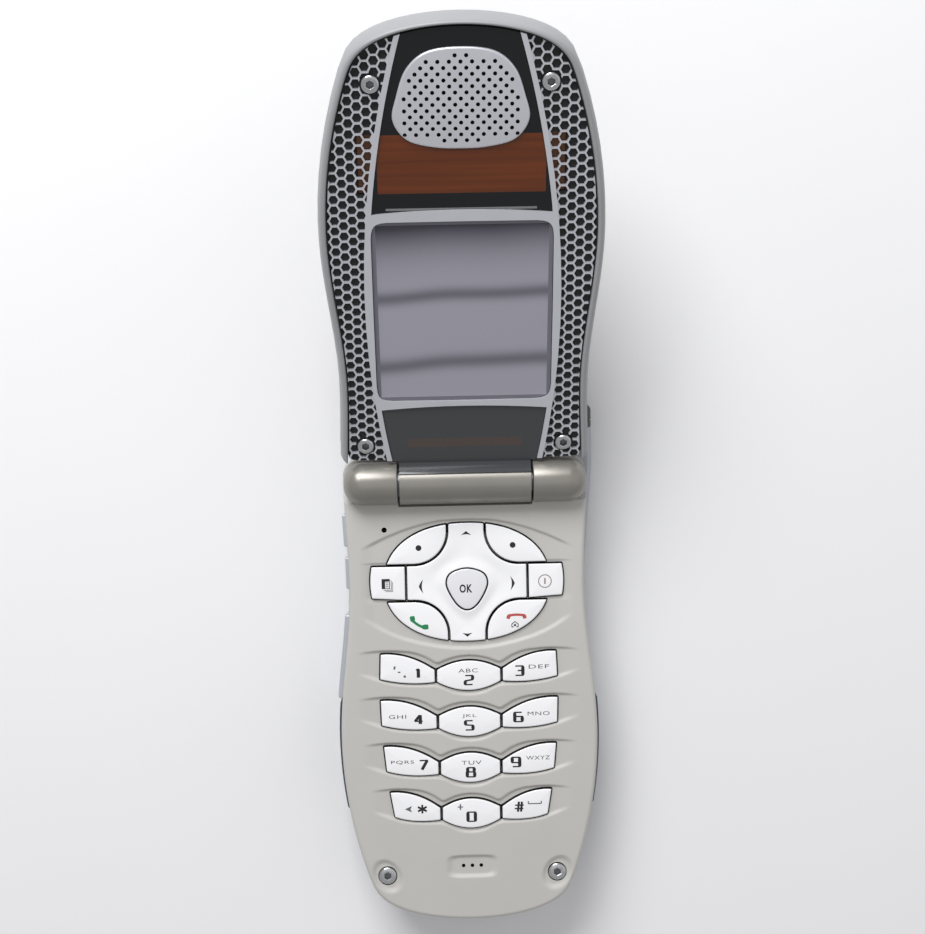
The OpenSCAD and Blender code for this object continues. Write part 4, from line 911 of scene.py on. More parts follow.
def faceHeight(x, d):
    depth = scoopDepth(x, d, keypad["navAt"], clusterScoop)
    for row in range(4):
        stretch = (padEdge(rowCentre(row)) + 4.6) / 21.5
        depth = np.maximum(depth, scoopDepth(x, d, rowCentre(row), rowScoop, stretch))
    h, at = sideHollow, keypad["navAt"]
    wing = ease((np.abs(x) - h["start"]) / h["rise"]) \
        * (1 - ease((np.abs(x) - h["end"]) / h["fall"]))
    side = ease((d - at + h["over"]) / h["overSlope"]) \
        * ease((at + h["under"] - d) / h["underSlope"])
    depth = depth + h["depth"] * wing * side
    h = micPocket
    mx = (x - faceShell["mic"][0]) / h["half"][0]
    md = (d - faceShell["mic"][1]) / h["half"][1]
    reach = (np.abs(mx) ** h["power"] + np.abs(md) ** h["power"]) ** (1 / h["power"])
    depth = np.maximum(depth, h["depth"] * ease((1 - reach) * h["slope"]))
    h = screwPocket
    sx, sd = np.abs(x) - faceShell["screws"][0], d - faceShell["screws"][1]
    away = np.hypot(sx, sd * h["squash"] + sx * h["lean"])
    depth = np.maximum(depth, h["depth"] * ease((h["radius"] - away) / h["slope"]))
    return phone["faceHeight"] - faceShell["scoop"] * depth


# The face of the base as rings: from the middle line out to the edge, over a quarter round,
# then down the leaning wall to the seam. Rows run straight across, so the scoops stay crisp.
def makeFace():
    spec = faceShell
    loop = bothSides(halfOutline(spec["rear"], spec["rearCorner"], step=0.16))
    inward = -loopNormals(loop)
    spine = np.column_stack([np.zeros(len(loop)), np.clip(loop[:, 1], 3.0, 73.0)])
    edge = spec["lean"] + spec["round"]
    base = loop + inward * spec["band"]
    part = np.linspace(0, 1, spec["rows"])
    inner = spine + (base - spine) * part[:, None, None]
    close = np.array([2.2, 1.9, 1.65, 1.45, 1.3, edge])[:, None, None]
    plan = np.concatenate([inner, loop + inward * close])
    height = faceHeight(plan[..., 0], plan[..., 1])
    top = np.concatenate([plan, height[..., None]], -1)
    a = np.radians(np.linspace(0, 90, 9)[1:])
    inset = spec["lean"] + spec["round"] * (1 - np.sin(a))
    drop = phone["faceHeight"] - spec["round"] * (1 - np.cos(a))
    groove = [(0.22, 8.5), (0.03, 7.35), (0.16, 7.22), (0.16, spec["seam"])]
    wallInset = np.concatenate([inset, [g[0] for g in groove]])
    wallHeight = np.concatenate([drop, [g[1] for g in groove]])
    wall = np.concatenate([
        loop + inward * wallInset[:, None, None],
        np.repeat(wallHeight[:, None, None], len(loop), 1)], -1)
    under = np.concatenate([spine, np.full((len(loop), 1), spec["seam"])], -1)
    points = np.concatenate([top, wall, under[None]])
    mesh = newMesh("face", onBase(points.reshape(-1, 3)), [gridQuads(len(points), len(loop))])
    tidyMesh(mesh, 0.003)
    return mesh


faceMesh = makeFace()
print("face made:", len(faceMesh.polygons), "faces")


def rowOpening(row):  # the three keys of a row in one outline, with a cusp between them
    right, middle = outerKeyLoop(row, 1), middleKeyLoop(row)
    half = len(middle) // 2
    at, cusp = rowCentre(row), midHalf(row) + keypad["gap"] / 2
    s = keypad["lensSide"]
    ends = [[[cusp, at - s]], right[1:-1], [[cusp, at + s]]]
    left = (np.concatenate(ends) * [-1, 1])[::-1]
    return np.concatenate([*ends, middle[half + 1:-1], left, middle[1:half - 1]])


def widened(loop, by):
    return loop + loopNormals(loop) * by


def cutFace(mesh):
    spec = faceShell
    ceiling = phone["faceHeight"] - spec["thickness"]
    inside = bothSides(halfOutline(spec["cavity"], spec["cavityCorner"], step=1.0, endSteps=24))
    inside = inside - loopNormals(inside) * (spec["wall"] + spec["lean"])
    mesh = boolean(mesh, prism(inside, spec["seam"] - 1, ceiling))
    axis = (0, phone["axisHeight"])
    wide = (-spec["beyond"], spec["beyond"])
    mesh = boolean(mesh, barAlongX(wide, axis, spec["saddle"]))
    mesh = boolean(mesh, barAlongX((-spec["troughHalf"], spec["troughHalf"]), axis,
                                   spec["trough"]))
    mesh = boolean(mesh, boxPrism(wide, (-8, 0), (spec["shelf"], 20)))
    low, high = spec["cutFloor"], spec["cutTop"]
    soft = lambda loop: softLoop(widened(softLoop(loop, 400), spec["opening"]), 260, 0.12)
    rows = joined([prism(softLoop(widened(softLoop(rowOpening(r), 600), spec["opening"]),
                                  420, 0.1), low, high) for r in range(4)]
                  + [prism(soft(navLoop()), low, high)])
    mesh = boolean(mesh, rows)
    corners = joined([prism(soft(keyLoops[k]), low, high) for k in
                      ("soft_key_left", "soft_key_right", "call_key", "end_key")])
    mesh = boolean(mesh, corners)
    sides = joined([prism(soft(keyLoops[k]), low, high) for k in ("menu_key", "power_key")])
    mesh = boolean(mesh, sides)
    mic = spec["mic"]
    holes = [prism(circleLoop((mic[0] + i * spec["micPitch"], mic[1]), spec["micHole"], 24),
                   low, high) for i in (-1, 0, 1)]
    holes.append(prism(circleLoop(spec["lightHole"], spec["lightRadius"], 28), low, high))
    sink = phone["faceHeight"] - spec["screwSink"]
    holes += [prism(circleLoop((s * spec["screws"][0], spec["screws"][1]),
                               spec["screwHead"] / 2 + 0.2, 40), sink, high) for s in (-1, 1)]
    return boolean(mesh, joined(holes))


flanks = {"volume": ((6.2, 12.3), (14.4, 20.4)), "volumeHeight": (8.3, 10.9),
          "talk": (25.4, 41.4), "talkHeight": (8.1, 11.3), "gap": 0.2, "depth": 2.0,
          "grip": (42.0, 63.0), "gripHeight": (3.6, 11.4), "gripDepth": 0.9,
          "volumeProud": 0.4, "talkProud": 0.55}


# A strip that follows the flank between two distances, from a depth inside to out of it.
def flankStrip(d, depth, out, hand, grow=0.0):
    along = np.linspace(d[0] - grow, d[1] + grow, 40)
    strip = np.concatenate([np.column_stack([sideAt(along) + out, along]),
                            np.column_stack([sideAt(along) - depth, along])[::-1]])
    return strip if hand > 0 else (strip * [-1, 1])[::-1]


def cutFlanks(mesh, low, high):
    gap = flanks["gap"]
    cuts = []
    for d in flanks["volume"]:
        h = flanks["volumeHeight"]
        cuts.append(prism(flankStrip(d, flanks["depth"], 2, -1, gap), h[0] - gap, h[1] + gap))
    h = flanks["talkHeight"]
    cuts.append(prism(flankStrip(flanks["talk"], flanks["depth"], 2, -1, gap),
                      h[0] - gap, h[1] + gap))
    h = flanks["gripHeight"]
    cuts += [prism(flankStrip(flanks["grip"], flanks["gripDepth"], 2, hand),
                   max(h[0], low), min(h[1], high)) for hand in (-1, 1)]
    return boolean(mesh, joined(cuts))


faceMesh = cutFlanks(cutFace(faceMesh), -1, 20)
tidyMesh(faceMesh, 0.001, turn=False)


# Painted shade: the upright walls of the key openings and holes are coloured black for the shade
# inside them.
def paintOpeningShade(mesh):  # upright walls of the openings, away from the flanks, are black
    centre, normal = perFace(mesh, "center") / mm, perFace(mesh, "normal")
    d = hingeY - centre[:, 1]
    inner = (np.abs(centre[:, 0]) < sideAt(d) - 2.4) & (d > 5.5) & (d < 80)
    upright = np.abs(normal[:, 2]) < 0.35
    dark = inner & ((upright & (centre[:, 2] > 11.5)) | (centre[:, 2] < 12.5))
    mesh.polygons.foreach_set("material_index", dark.astype(np.int32))


paintOpeningShade(faceMesh)
newPiece("base_face", faceMesh, [stock["matte lacquered polycarbonate"],
         stock["black moulded plastic"]], "base", ["front_housing"], 30)
print("face cut:", len(faceMesh.polygons), "faces")


# Strokes of the legends are drawn with a broad pen: thin across, thick up and down. Glyphs
# stand in a unit box, u to the right and v upwards.
pen = {"thin": 0.26, "thick": 0.64, "round": 0.16, "lift": 0.02, "digit": (2.05, 2.05)}
glyphs = {
    "1": [[(0.05, 0.74), (0.62, 0.98), (0.62, 0)]],
    "2": [[(0.02, 0.98), (1, 0.98), (1, 0.54), (0, 0.40), (0, 0), (1, 0)]],
    "3": [[(0, 1), (1, 1), (1, 0), (0, 0)], [(0.3, 0.52), (1, 0.52)]],
    "4": [[(0.72, 0), (0.72, 0.98), (0.02, 0.3), (1.04, 0.3)]],
    "5": [[(0.98, 1), (0, 1), (0, 0.56), (1, 0.5), (1, 0), (0, 0)]],
    "6": [[(0.95, 1), (0, 1), (0, 0), (1, 0), (1, 0.56), (0.05, 0.56)]],
    "7": [[(0, 1), (1.04, 1), (0.3, 0)]],
    "8": [[(0.06, 0.54), (0.06, 1), (0.94, 1), (0.94, 0.54), (0.06, 0.54)],
          [(0, 0.54), (0, 0), (1, 0), (1, 0.54), (0, 0.54)]],
    "9": [[(0.95, 0.44), (0, 0.44), (0, 1), (1, 1), (1, 0), (0.05, 0)]],
    "0": [[(0.5, 1), (0, 1), (0, 0), (1, 0), (1, 1), (0.5, 1)]],
    "hash": [[(0.38, 0), (0.5, 1)], [(0.72, 0), (0.84, 1)], [(0.08, 0.66), (1.04, 0.66)],
             [(0.02, 0.32), (0.98, 0.32)]],
    "plus": [[(0, 0.5), (1, 0.5)], [(0.5, 0), (0.5, 1)]],
    "space": [[(0, 0.9), (0, 0), (1, 0), (1, 0.9)]],
    "tick": [[(0.2, 0), (0.8, 1)]],
    "dash": [[(0, 0.5), (1, 0.5)]],
}
glyphs["star"] = [[(0.5 - 0.5 * math.sin(a), 0.5 - 0.5 * math.cos(a)),
                   (0.5 + 0.5 * math.sin(a), 0.5 + 0.5 * math.cos(a))]
                  for a in (0, math.pi / 3, -math.pi / 3)]


# A path with its corners rounded by parabolas, in steps fine enough to bend with the cap.
def roundedPath(points, r):
    points = np.asarray(points, float)
    out = [points[:1]]
    for a, b, c in zip(points[:-2], points[1:-1], points[2:]):
        before, after = a - b, c - b
        reach = [min(r, 0.49 * np.linalg.norm(v)) / (np.linalg.norm(v) + 1e-9)
                 for v in (before, after)]
        p, q = b + before * reach[0], b + after * reach[1]
        t = np.linspace(0, 1, 7)[:, None]
        out.append(p * (1 - t) ** 2 + b * 2 * t * (1 - t) + q * t ** 2)
    out.append(points[-1:])
    path = np.concatenate(out)
    run = np.concatenate([[0], np.cumsum(np.linalg.norm(np.diff(path, axis=0), axis=1))])
    keep = np.concatenate([[True], np.diff(run) > 1e-6])
    at = np.unique(np.concatenate([run[keep], np.arange(0, run[-1], 0.3)]))
    return np.stack([np.interp(at, run, path[:, k]) for k in (0, 1)], -1)


# A flat stroke along a path, as wide as the pen is in that direction or as given.
def stroke(path, thin, thick, widths=None):
    along = np.gradient(path, axis=0)
    along /= np.linalg.norm(along, axis=1, keepdims=True) + 1e-9
    if widths is None:
        widths = thin + (thick - thin) * np.abs(along[:, 1]) ** 1.4
    side = np.stack([-along[:, 1], along[:, 0]], -1) * widths[:, None] / 2
    n = len(path)
    i = np.arange(n - 1)
    return np.concatenate([path + side, path - side]), np.stack([i, i + n, i + n + 1, i + 1], -1)


# The parts of a printed mark: lists of flat points (x, d) and faces.
def glyphMark(name, at, size, thin=None, thick=None):
    thin, thick = thin or pen["thin"], thick or pen["thick"]
    parts = []
    inner = np.array([size[0] - thick, size[1] - thin])
    for points in glyphs[name]:
        path = (np.asarray(points, float) - 0.5) * inner
        flat, faces = stroke(roundedPath(path, pen["round"] * size[1]), thin, thick)
        parts.append((flat * [1, -1] + at, faces))
    return parts


def polygonMark(points, at):  # u to the right, v upwards, in millimetres
    flat = np.asarray(points, float) * [1, -1] + at
    return [(flat, [tuple(range(len(flat)))])]


def ringMark(at, r, width, count=48):
    a = np.linspace(0, 2 * math.pi, count, endpoint=False)
    turn = np.stack([np.cos(a), np.sin(a)], -1)
    flat = np.concatenate([turn * (r + width / 2), turn * (r - width / 2)]) + at
    return [(flat, gridQuads(2, count))]


def discMark(at, r, count=28):
    return [(circleLoop(at, r, count), [tuple(range(count))])]


# Letters of Blender's own font, stretched to a width and height about a middle.
def letterMark(text, at, size, weight=0.0):
    curve = bpy.data.curves.new("letters", "FONT")
    curve.body, curve.offset, curve.resolution_u = text, weight, 3
    curve.space_character = 1.12
    thing = bpy.data.objects.new("letters", curve)
    bpy.context.scene.collection.objects.link(thing)
    bpy.context.view_layer.update()
    mesh = bpy.data.meshes.new_from_object(
        thing.evaluated_get(bpy.context.evaluated_depsgraph_get()))
    bpy.data.objects.remove(thing)
    flat = np.empty(len(mesh.vertices) * 3)
    mesh.vertices.foreach_get("co", flat)
    flat = flat.reshape(-1, 3)[:, :2]
    low, high = flat.min(0), flat.max(0)
    flat = ((flat - low) / (high - low) - 0.5) * size
    faces = [tuple(p.vertices) for p in mesh.polygons]
    return [(flat * [1, -1] + at, faces)]


def legendHeight(key, flat):
    if key == "nav_key":
        return navHeight(flat)
    loop = softLoop(keyLoops[key], keyCap["points"], keyCap["corner"])
    return capHeight(loopDistance(flat, loop), keyCap)


# One printed layer of a key: its marks laid on the cap, a hair above the coat.
def printLegend(key, ink, marks):
    flat, faces, start = [], [], 0
    for points, quads in marks:
        flat.append(points)
        faces += [tuple(int(i) + start for i in q) for q in quads]
        start += len(points)
    flat = np.concatenate(flat)
    height = legendHeight(key, flat) + pen["lift"]
    mesh = bpy.data.meshes.new("legend")
    mesh.from_pydata(onBase(np.column_stack([flat, height])).tolist(), [], faces)
    down = np.flatnonzero(perFace(mesh, "normal")[:, 2] < 0)
    if len(down):
        b = bmesh.new()
        b.from_mesh(mesh)
        b.faces.ensure_lookup_table()
        bmesh.ops.reverse_faces(b, faces=[b.faces[i] for i in down])
        b.to_mesh(mesh)
        b.free()
    newPiece(key + "_" + ink.split()[0] + "_print", mesh, [stock[ink]], key, sharp=0)


# Where each digit and its letters stand: x and d of the middle, and the letters' width.
numberLegends = {
    "key_1": ("1", (-9.62, 36.3), None, None, None),
    "key_2": ("2", (0.0, 37.84), "ABC", (-0.12, 36.02), 3.7),
    "key_3": ("3", (9.58, 36.28), "DEF", (13.35, 35.55), 3.9),
    "key_4": ("4", (-9.7, 45.22), "GHI", (-13.7, 44.65), 3.3),
    "key_5": ("5", (-0.1, 46.6), "JKL", (-0.05, 44.8), 2.7),
    "key_6": ("6", (9.3, 45.22), "MNO", (13.15, 44.6), 4.2),
    "key_7": ("7", (-9.0, 54.1), "PQRS", (-12.95, 53.5), 4.4),
    "key_8": ("8", (0.05, 55.72), "TUV", (0.2, 53.85), 3.8),
    "key_9": ("9", (8.68, 53.94), "WXYZ", (12.9, 53.2), 4.5),
    "key_0": ("0", (0.02, 64.38), None, None, None),
}
for key, (digit, at, letters, place, width) in numberLegends.items():
    size = (1.15, 2.0) if digit == "1" else pen["digit"]
    printLegend(key, "black ink", glyphMark(digit, at, size))
    if letters:
        printLegend(key, "grey ink", letterMark(letters, place, (width, 0.74)))
printLegend("key_1", "grey ink",
            glyphMark("tick", (-14.05, 35.2), (0.55, 0.85), 0.25, 0.34)
            + glyphMark("dash", (-13.2, 36.05), (0.75, 0.3), 0.24, 0.24)
            + discMark((-12.15, 36.9), 0.24))
printLegend("key_star", "black ink", glyphMark("star", (-9.38, 62.66), (2.3, 2.1), 0.4, 0.36))
printLegend("key_star", "grey ink",
            polygonMark([(-0.75, 0), (0.6, 0.62), (0.3, 0), (0.6, -0.62)], (-11.95, 62.62)))
printLegend("key_0", "grey ink", glyphMark("plus", (-2.1, 62.45), (1.3, 1.3), 0.2, 0.26))
printLegend("key_hash", "black ink", glyphMark("hash", (9.1, 62.67), (2.15, 2.2), 0.26, 0.42))
printLegend("key_hash", "grey ink", glyphMark("space", (12.15, 61.85), (2.7, 0.75), 0.2, 0.22))

chevron = np.array([(-0.95, -0.34), (-0.36, 0.1), (0, 0.42), (0.36, 0.1), (0.95, -0.34),
                    (0.36, -0.22), (0, -0.18), (-0.36, -0.22)])
wedge = np.array([(0.46, 1.35), (-0.04, 0.66), (-0.36, 0), (-0.04, -0.66), (0.46, -1.35),
                  (0.26, -0.6), (0.2, 0), (0.26, 0.6)])
printLegend("nav_key", "black ink",
            polygonMark(chevron, (0.0, 9.8)) + polygonMark(-chevron, (-0.1, 29.15))
            + polygonMark(wedge, (-8.75, 19.75)) + polygonMark(-wedge, (8.7, 19.5)))
printLegend("ok_key", "black ink", letterMark("OK", (-0.22, 20.3), (2.4, 1.6), 0.03))
printLegend("soft_key_left", "black ink", discMark((-9.0, 12.4), 0.55))
printLegend("soft_key_right", "black ink", discMark((8.75, 12.2), 0.55))


def boxStroke(points, at, width):
    flat, faces = stroke(roundedPath(points, 0.02), width, width)
    return [(flat * [1, -1] + at, faces)]


# The menu key shows a stack of pages: a dark first page with lines on it, two edges behind.
menuAt = (-15.15, 19.2)
printLegend("menu_key", "black ink",
            polygonMark([(-0.95, -0.85), (-0.3, -0.85), (-0.3, 0.55), (0.6, 0.55),
                         (0.6, 1.05), (-0.95, 1.05)], menuAt)
            + boxStroke([(-0.3, -0.79), (0.54, -0.79), (0.54, 0.6)], menuAt, 0.13)
            + [part for v in (-0.42, -0.06, 0.3) for part in
               boxStroke([(-0.2, v), (0.34, v)], menuAt, 0.13)]
            + boxStroke([(-0.6, -1.1), (0.85, -1.1), (0.85, 0.75)], menuAt, 0.11)
            + boxStroke([(-0.25, -1.36), (1.12, -1.36), (1.12, 0.45)], menuAt, 0.09))
powerAt = (14.75, 19.22)
printLegend("power_key", "brown ink", ringMark(powerAt, 1.2, 0.17)
            + boxStroke([(0, -0.55), (0, 0.6)], powerAt, 0.26))


# A handset is one stroke whose ends swell.
def handset(path, at, waist, lobe):
    path = roundedPath(np.asarray(path, float), 0.5)
    t = np.abs(np.linspace(-1, 1, len(path)))
    ends = ease((t - 0.45) / 0.3) * np.sqrt(np.clip(1 - np.clip((t - 0.93) / 0.1, 0, 1) ** 2, 0, 1))
    flat, faces = stroke(path, 0, 0, waist + (lobe - waist) * ends)
    return [(flat * [1, -1] + at, faces)]


printLegend("call_key", "green ink",
            handset([(-1.45, 1.15), (-1.35, 0.25), (-0.55, -0.45), (0.5, -1.0), (1.6, -0.95)],
                    (-9.05, 26.5), 0.5, 0.95))
printLegend("end_key", "red ink",
            handset([(-1.62, -0.42), (-1.45, 0.22), (0, 0.36), (1.45, 0.22), (1.62, -0.42)],
                    (9.25, 25.85), 0.46, 0.7))
homeAt = (8.95, 27.35)
printLegend("end_key", "black ink",
            boxStroke([(-0.25, -0.5), (-0.6, -0.5), (-0.6, 0.05), (0, 0.52), (0.6, 0.05),
                       (0.6, -0.5), (0.25, -0.5)], homeAt, 0.15)
            + discMark((homeAt[0], homeAt[1] + 0.16), 0.22))
print("legends printed")

lidRim = {"start": 4.6, "corner": 1.2, "side": 1.5, "end": 1.0, "section":
          [(0.15, -1.4), (0.3, -0.7), (0.48, 0.0), (0.58, 0.2), (0.72, 0.37), (0.88, 0.49),
           (1.04, 0.55), (1.2, 0.565), (1.34, 0.53), (1.44, 0.45), (1.5, 0.32), (1.5, -1.4)]}


def evenly(curve, count):  # an open curve set out again in equal steps
    run = np.concatenate([[0], np.cumsum(np.linalg.norm(np.diff(curve, axis=0), axis=1))])
    at = np.linspace(0, run[-1], count)
    return np.stack([np.interp(at, run, curve[:, k]) for k in (0, 1)], -1)


# The rim of the lid: one section carried round the outline from hinge to hinge. A point of
# the section stands part of the way from the outer curve to the curve of the mouth.
def makeLidRim():
    spec = lidRim
    outer = evenly(bothSides(halfOutline(spec["start"], spec["corner"])), 560)
    mouth = halfOutline(spec["start"], 0.01, spec["side"], spec["end"])
    mouth[:13, 0] = sideAt(spec["start"]) - spec["side"]
    inner = evenly(bothSides(mouth), 560)
    section = np.array(spec["section"])
    part = (section[:, 0] / spec["side"])[None, :, None]
    plan = outer[:, None] * (1 - part) + inner[:, None] * part
    height = np.repeat(section[None, :, 1:], len(outer), 0)
    n = len(section)
    mesh = newMesh("rim", onLid(np.concatenate([plan, height], -1).reshape(-1, 3)),
                   [gridQuads(len(outer), n), [np.arange(n)],
                    [np.arange(n)[::-1] + (len(outer) - 1) * n]])
    tidyMesh(mesh)
    newPiece("lid_edge", mesh, [stock["grey lacquered lid plastic"]], "lid",
             ["lid_rim"], 40)


makeLidRim()
print("lid rim made")


# A turned part: a profile of places along x and radii, carried round an axis by place().
def turned(profile, place, count=96):
    profile = np.asarray(profile, float)
    a = np.linspace(0, 2 * math.pi, count, endpoint=False)
    rings = np.stack([np.repeat(profile[:, :1], count, 1),
                      profile[:, 1:] * np.cos(a), profile[:, 1:] * np.sin(a)], -1)
    mesh = newMesh("turned", place(rings.reshape(-1, 3)), [gridQuads(len(profile), count)])
    tidyMesh(mesh)
    return mesh


def quarter(x, r, size, start, end, steps=10):  # an arc of a profile about (x, r)
    a = np.radians(np.linspace(start, end, steps))
    return np.stack([x + size * np.cos(a), r + size * np.sin(a)], -1).tolist()


hingeCaps = {"from": 12.6, "to": 22.7, "radius": 4.0, "round": 3.4, "edge": 0.25,
             "bore": {"left": 2.65, "right": 2.05}, "boreEnd": 21.1}


# A hinge cap is turned: a round nose outside, a fine edge inside, bored for the hinge.
def makeHingeCap(hand):
    spec = hingeCaps
    sign = -1 if hand == "left" else 1
    profile = [(spec["from"], spec["bore"][hand])] \
        + quarter(spec["from"] + spec["edge"], spec["radius"] - spec["edge"], spec["edge"],
                  180, 90, 5) \
        + quarter(spec["to"] - spec["round"], spec["radius"] - spec["round"], spec["round"],
                  90, 0, 14) \
        + [(spec["to"], 0), (spec["boreEnd"], 0), (spec["boreEnd"], spec["bore"][hand]),
           (spec["from"], spec["bore"][hand])]
    place = lambda p: onBase(p * [sign, 1, 1] + [0, 0, phone["axisHeight"]])
    newPiece("knuckle_" + hand, turned(profile, place), [stock["satin painted zinc"]], "base",
             ["hinge_cap_" + hand], 40)


for hand in ("left", "right"):
    makeHingeCap(hand)

antennaKnob = {"at": (20.6, 4.3), "from": 9.4, "length": 4.3, "radius": 4.2, "round": 1.2,
               "groove": 0.18, "grooveAt": 1.1, "edge": 0.2, "dimple": 0.9,
               "dimpleRound": 0.18, "rod": 0.8, "rodRound": 0.3, "rodLength": 34.0}


# The antenna: a moulded knob with a groove round it, on a plated rod.
def makeAntenna():
    spec = antennaKnob
    r, foot, g = spec["radius"], spec["from"], spec["groove"]
    top, cut, edge = foot + spec["length"], foot + spec["grooveAt"], spec["edge"]
    soft, rod, nose = spec["dimpleRound"], spec["rod"], spec["rodRound"]
    tip = foot - spec["rodLength"]
    place = lambda p: onBase(np.stack([p[..., 1] + spec["at"][0], -p[..., 0],
                                       p[..., 2] + spec["at"][1]], -1))
    knob = [(foot, 0)] + quarter(foot + edge, r - edge, edge, 180, 90, 4) \
        + [(cut, r), (cut + g, r - g), (cut + 2 * g, r)] \
        + quarter(top - spec["round"], r - spec["round"], spec["round"], 90, 0, 9) \
        + [(top, spec["dimple"])] \
        + quarter(top - soft, spec["dimple"] - soft, soft, 90, 180, 4) + [(top - soft, 0)]
    newPiece("antenna_knob", turned(knob, place), [stock["moulded black nylon"]], "antenna",
             ["antenna"], 40)
    profile = [(tip, 0)] + quarter(tip + nose, rod - nose, nose, 180, 90, 4) \
        + [(foot + 0.1, rod), (foot + 0.1, 0)]
    newPiece("antenna_rod", turned(profile, place, 32), [stock["nickel-plated steel"]], "antenna",
             [], 40)


makeAntenna()
print("hinge caps and antenna turned")

# Socket screws: radius and height of the head, of its hexagon and of the shank.
screwKinds = {
    "lid": {"places": [(s * 14.85, 74.7) for s in (-1, 1)] + [(s * 18.25, 8.0) for s in (-1, 1)],
            "radius": 1.5, "foot": -0.8, "top": 0.35, "shank": 0.75, "end": -6.9},
    "base": {"places": [(s * 16.3, 75.8) for s in (-1, 1)],
             "radius": 1.65, "foot": 12.7, "top": 13.65, "shank": 0.75, "end": 2.9},
}
screwHead = {"hexagon": 0.64, "socket": 0.55, "lip": 0.16, "dome": 0.3, "flat": 1.05}


# A screw as rings from the floor of its socket to the tip: a hexagon inside, where the
# radius is apothem / cos(angle from the flat's middle), and circles outside.
def screwMesh(spec, place):
    head, n = screwHead, 48
    a = np.linspace(0, 2 * math.pi, n, endpoint=False)
    hexagon = head["hexagon"] / np.cos((a + math.pi / 6) % (math.pi / 3) - math.pi / 6)
    top, r, flat = spec["top"], spec["radius"], np.ones(n)
    rings = [(0 * flat, top - head["socket"]), (hexagon, top - head["socket"]),
             (hexagon, top - head["lip"] * 0.4), (hexagon + head["lip"] * 0.6, top)]
    rings += [(flat * head["flat"], top)]
    turn = np.radians(np.linspace(0, 90, 7)[1:])
    rings += [(flat * (head["flat"] + (r - head["flat"]) * math.sin(t)),
               top - head["dome"] * (1 - math.cos(t))) for t in turn]
    rings += [(flat * r, spec["foot"]), (flat * spec["shank"], spec["foot"]),
              (flat * spec["shank"], spec["end"]), (0 * flat, spec["end"])]
    meshes = []
    # The socket's floor and walls take the darkened steel: painted shade.
    socket = np.repeat(np.arange(len(rings) - 1) < 2, n).astype(np.int32)
    for x, d in spec["places"]:
        points = [np.column_stack([x + radius * np.cos(a), d + radius * np.sin(a),
                                   np.full(n, height)]) for radius, height in rings]
        mesh = newMesh("screw", place(np.concatenate(points)), [gridQuads(len(rings), n)])
        mesh.polygons.foreach_set("material_index", socket)
        tidyMesh(mesh)
        meshes.append(mesh)
    return joined(meshes)


newPiece("lid_socket_screws", screwMesh(screwKinds["lid"], onLid),
         [stock["nickel-plated steel"], stock["steel darkened by painted shade"]], "lid", ["lid_screws"], 30)
newPiece("base_socket_screws", screwMesh(screwKinds["base"], onBase),
         [stock["nickel-plated steel"], stock["steel darkened by painted shade"]], "base", ["base_screws"], 30)

grille = {"at": (0.0, 71.5), "foot": -0.8, "top": 0.3, "fillet": 0.34, "dome": 0.2,
          "reach": 7.5, "row": 1.0, "low": -6.25, "high": 7.9, "pitch": 1.875, "hole": 0.35,
          "widest": 10.2, "drillFoot": -0.55, "innerFrom": 0.45, "outline":
          [(0, 9.1), (-5.6, 8.35), (-9, 5.5), (-10.7, 1), (-11.4, -2.9), (-9.1, -6.2),
           (-4.6, -7.5), (0, -7.75), (4.6, -7.5), (9.1, -6.2), (11.4, -2.9), (10.7, 1),
           (9, 5.5), (5.6, 8.35)]}


# How far the holes of a row reach to either side: the foot opens fast, the middle narrows
# slowly, and the top closes as a parabola.
def grilleHalf(d):
    if d < -5.5:
        return 4 + (d + 6.3) * 4.6
    if d < -2.5:
        return grille["widest"]
    if d < 5:
        return grille["widest"] - (d + 2.5) * 0.18
    return grille["widest"] - 1.35 - (d - 5) ** 2 * 0.85


# The earpiece: a shallow dome over its outline, drilled in rows that step half a pitch.
def makeGrille():
    spec = grille
    loop = smoothLoop(spec["outline"], 8)[::-1] + spec["at"]
    shape = {"points": 200, "corner": 0.05, "top": spec["top"], "foot": spec["foot"],
             "crown": spec["dome"], "reach": spec["reach"], "fillet": spec["fillet"],
             "black": spec["top"] - spec["fillet"] - 0.1}
    mesh = capMesh(loop, shape, onLid)
    rows = int((spec["high"] - spec["low"]) / spec["row"]) + 1
    drills = []
    for row in range(rows):
        d = spec["low"] + row * spec["row"]
        shift = (row % 2) / 2 + 0.5
        for k in range(-7, 7):
            x = (k + shift) * spec["pitch"]
            if abs(x) < grilleHalf(d):
                drills.append(prism(circleLoop((x, spec["at"][1] + d), spec["hole"], 12),
                                    spec["drillFoot"], 2, onLid))
    mesh = boolean(mesh, joined(drills))
    up = np.array([0, -math.sin(lidTilt), math.cos(lidTilt)])
    centre, normal = perFace(mesh, "center"), perFace(mesh, "normal") @ up
    y, z = centre[:, 1] - hingeY * mm, centre[:, 2] - phone["axisHeight"] * mm
    flat = np.stack([centre[:, 0], y * math.cos(lidTilt) + z * math.sin(lidTilt)], -1) / mm
    height = (z * math.cos(lidTilt) - y * math.sin(lidTilt)) / mm
    # Painted shade: the walls and floors of the holes take the black plastic, standing in for the
    # shade inside them.
    bored = (loopDistance(flat, loop) > spec["innerFrom"]) & (height > -0.7) \
        & ((np.abs(normal) < 0.5) | (height < 0.05))
    mesh.polygons.foreach_set("material_index", bored.astype(np.int32))
    newPiece("earpiece_dome", mesh, [stock["metallised silver plastic"],
             stock["black moulded plastic"]], "lid", ["earpiece_grille"], 40)


makeGrille()
print("screws and grille made")

flankCap = {"foot": -1.2, "crown": 0.12, "reach": 1.3, "fillet": 0.28, "corner": 0.22,
            "points": 200}


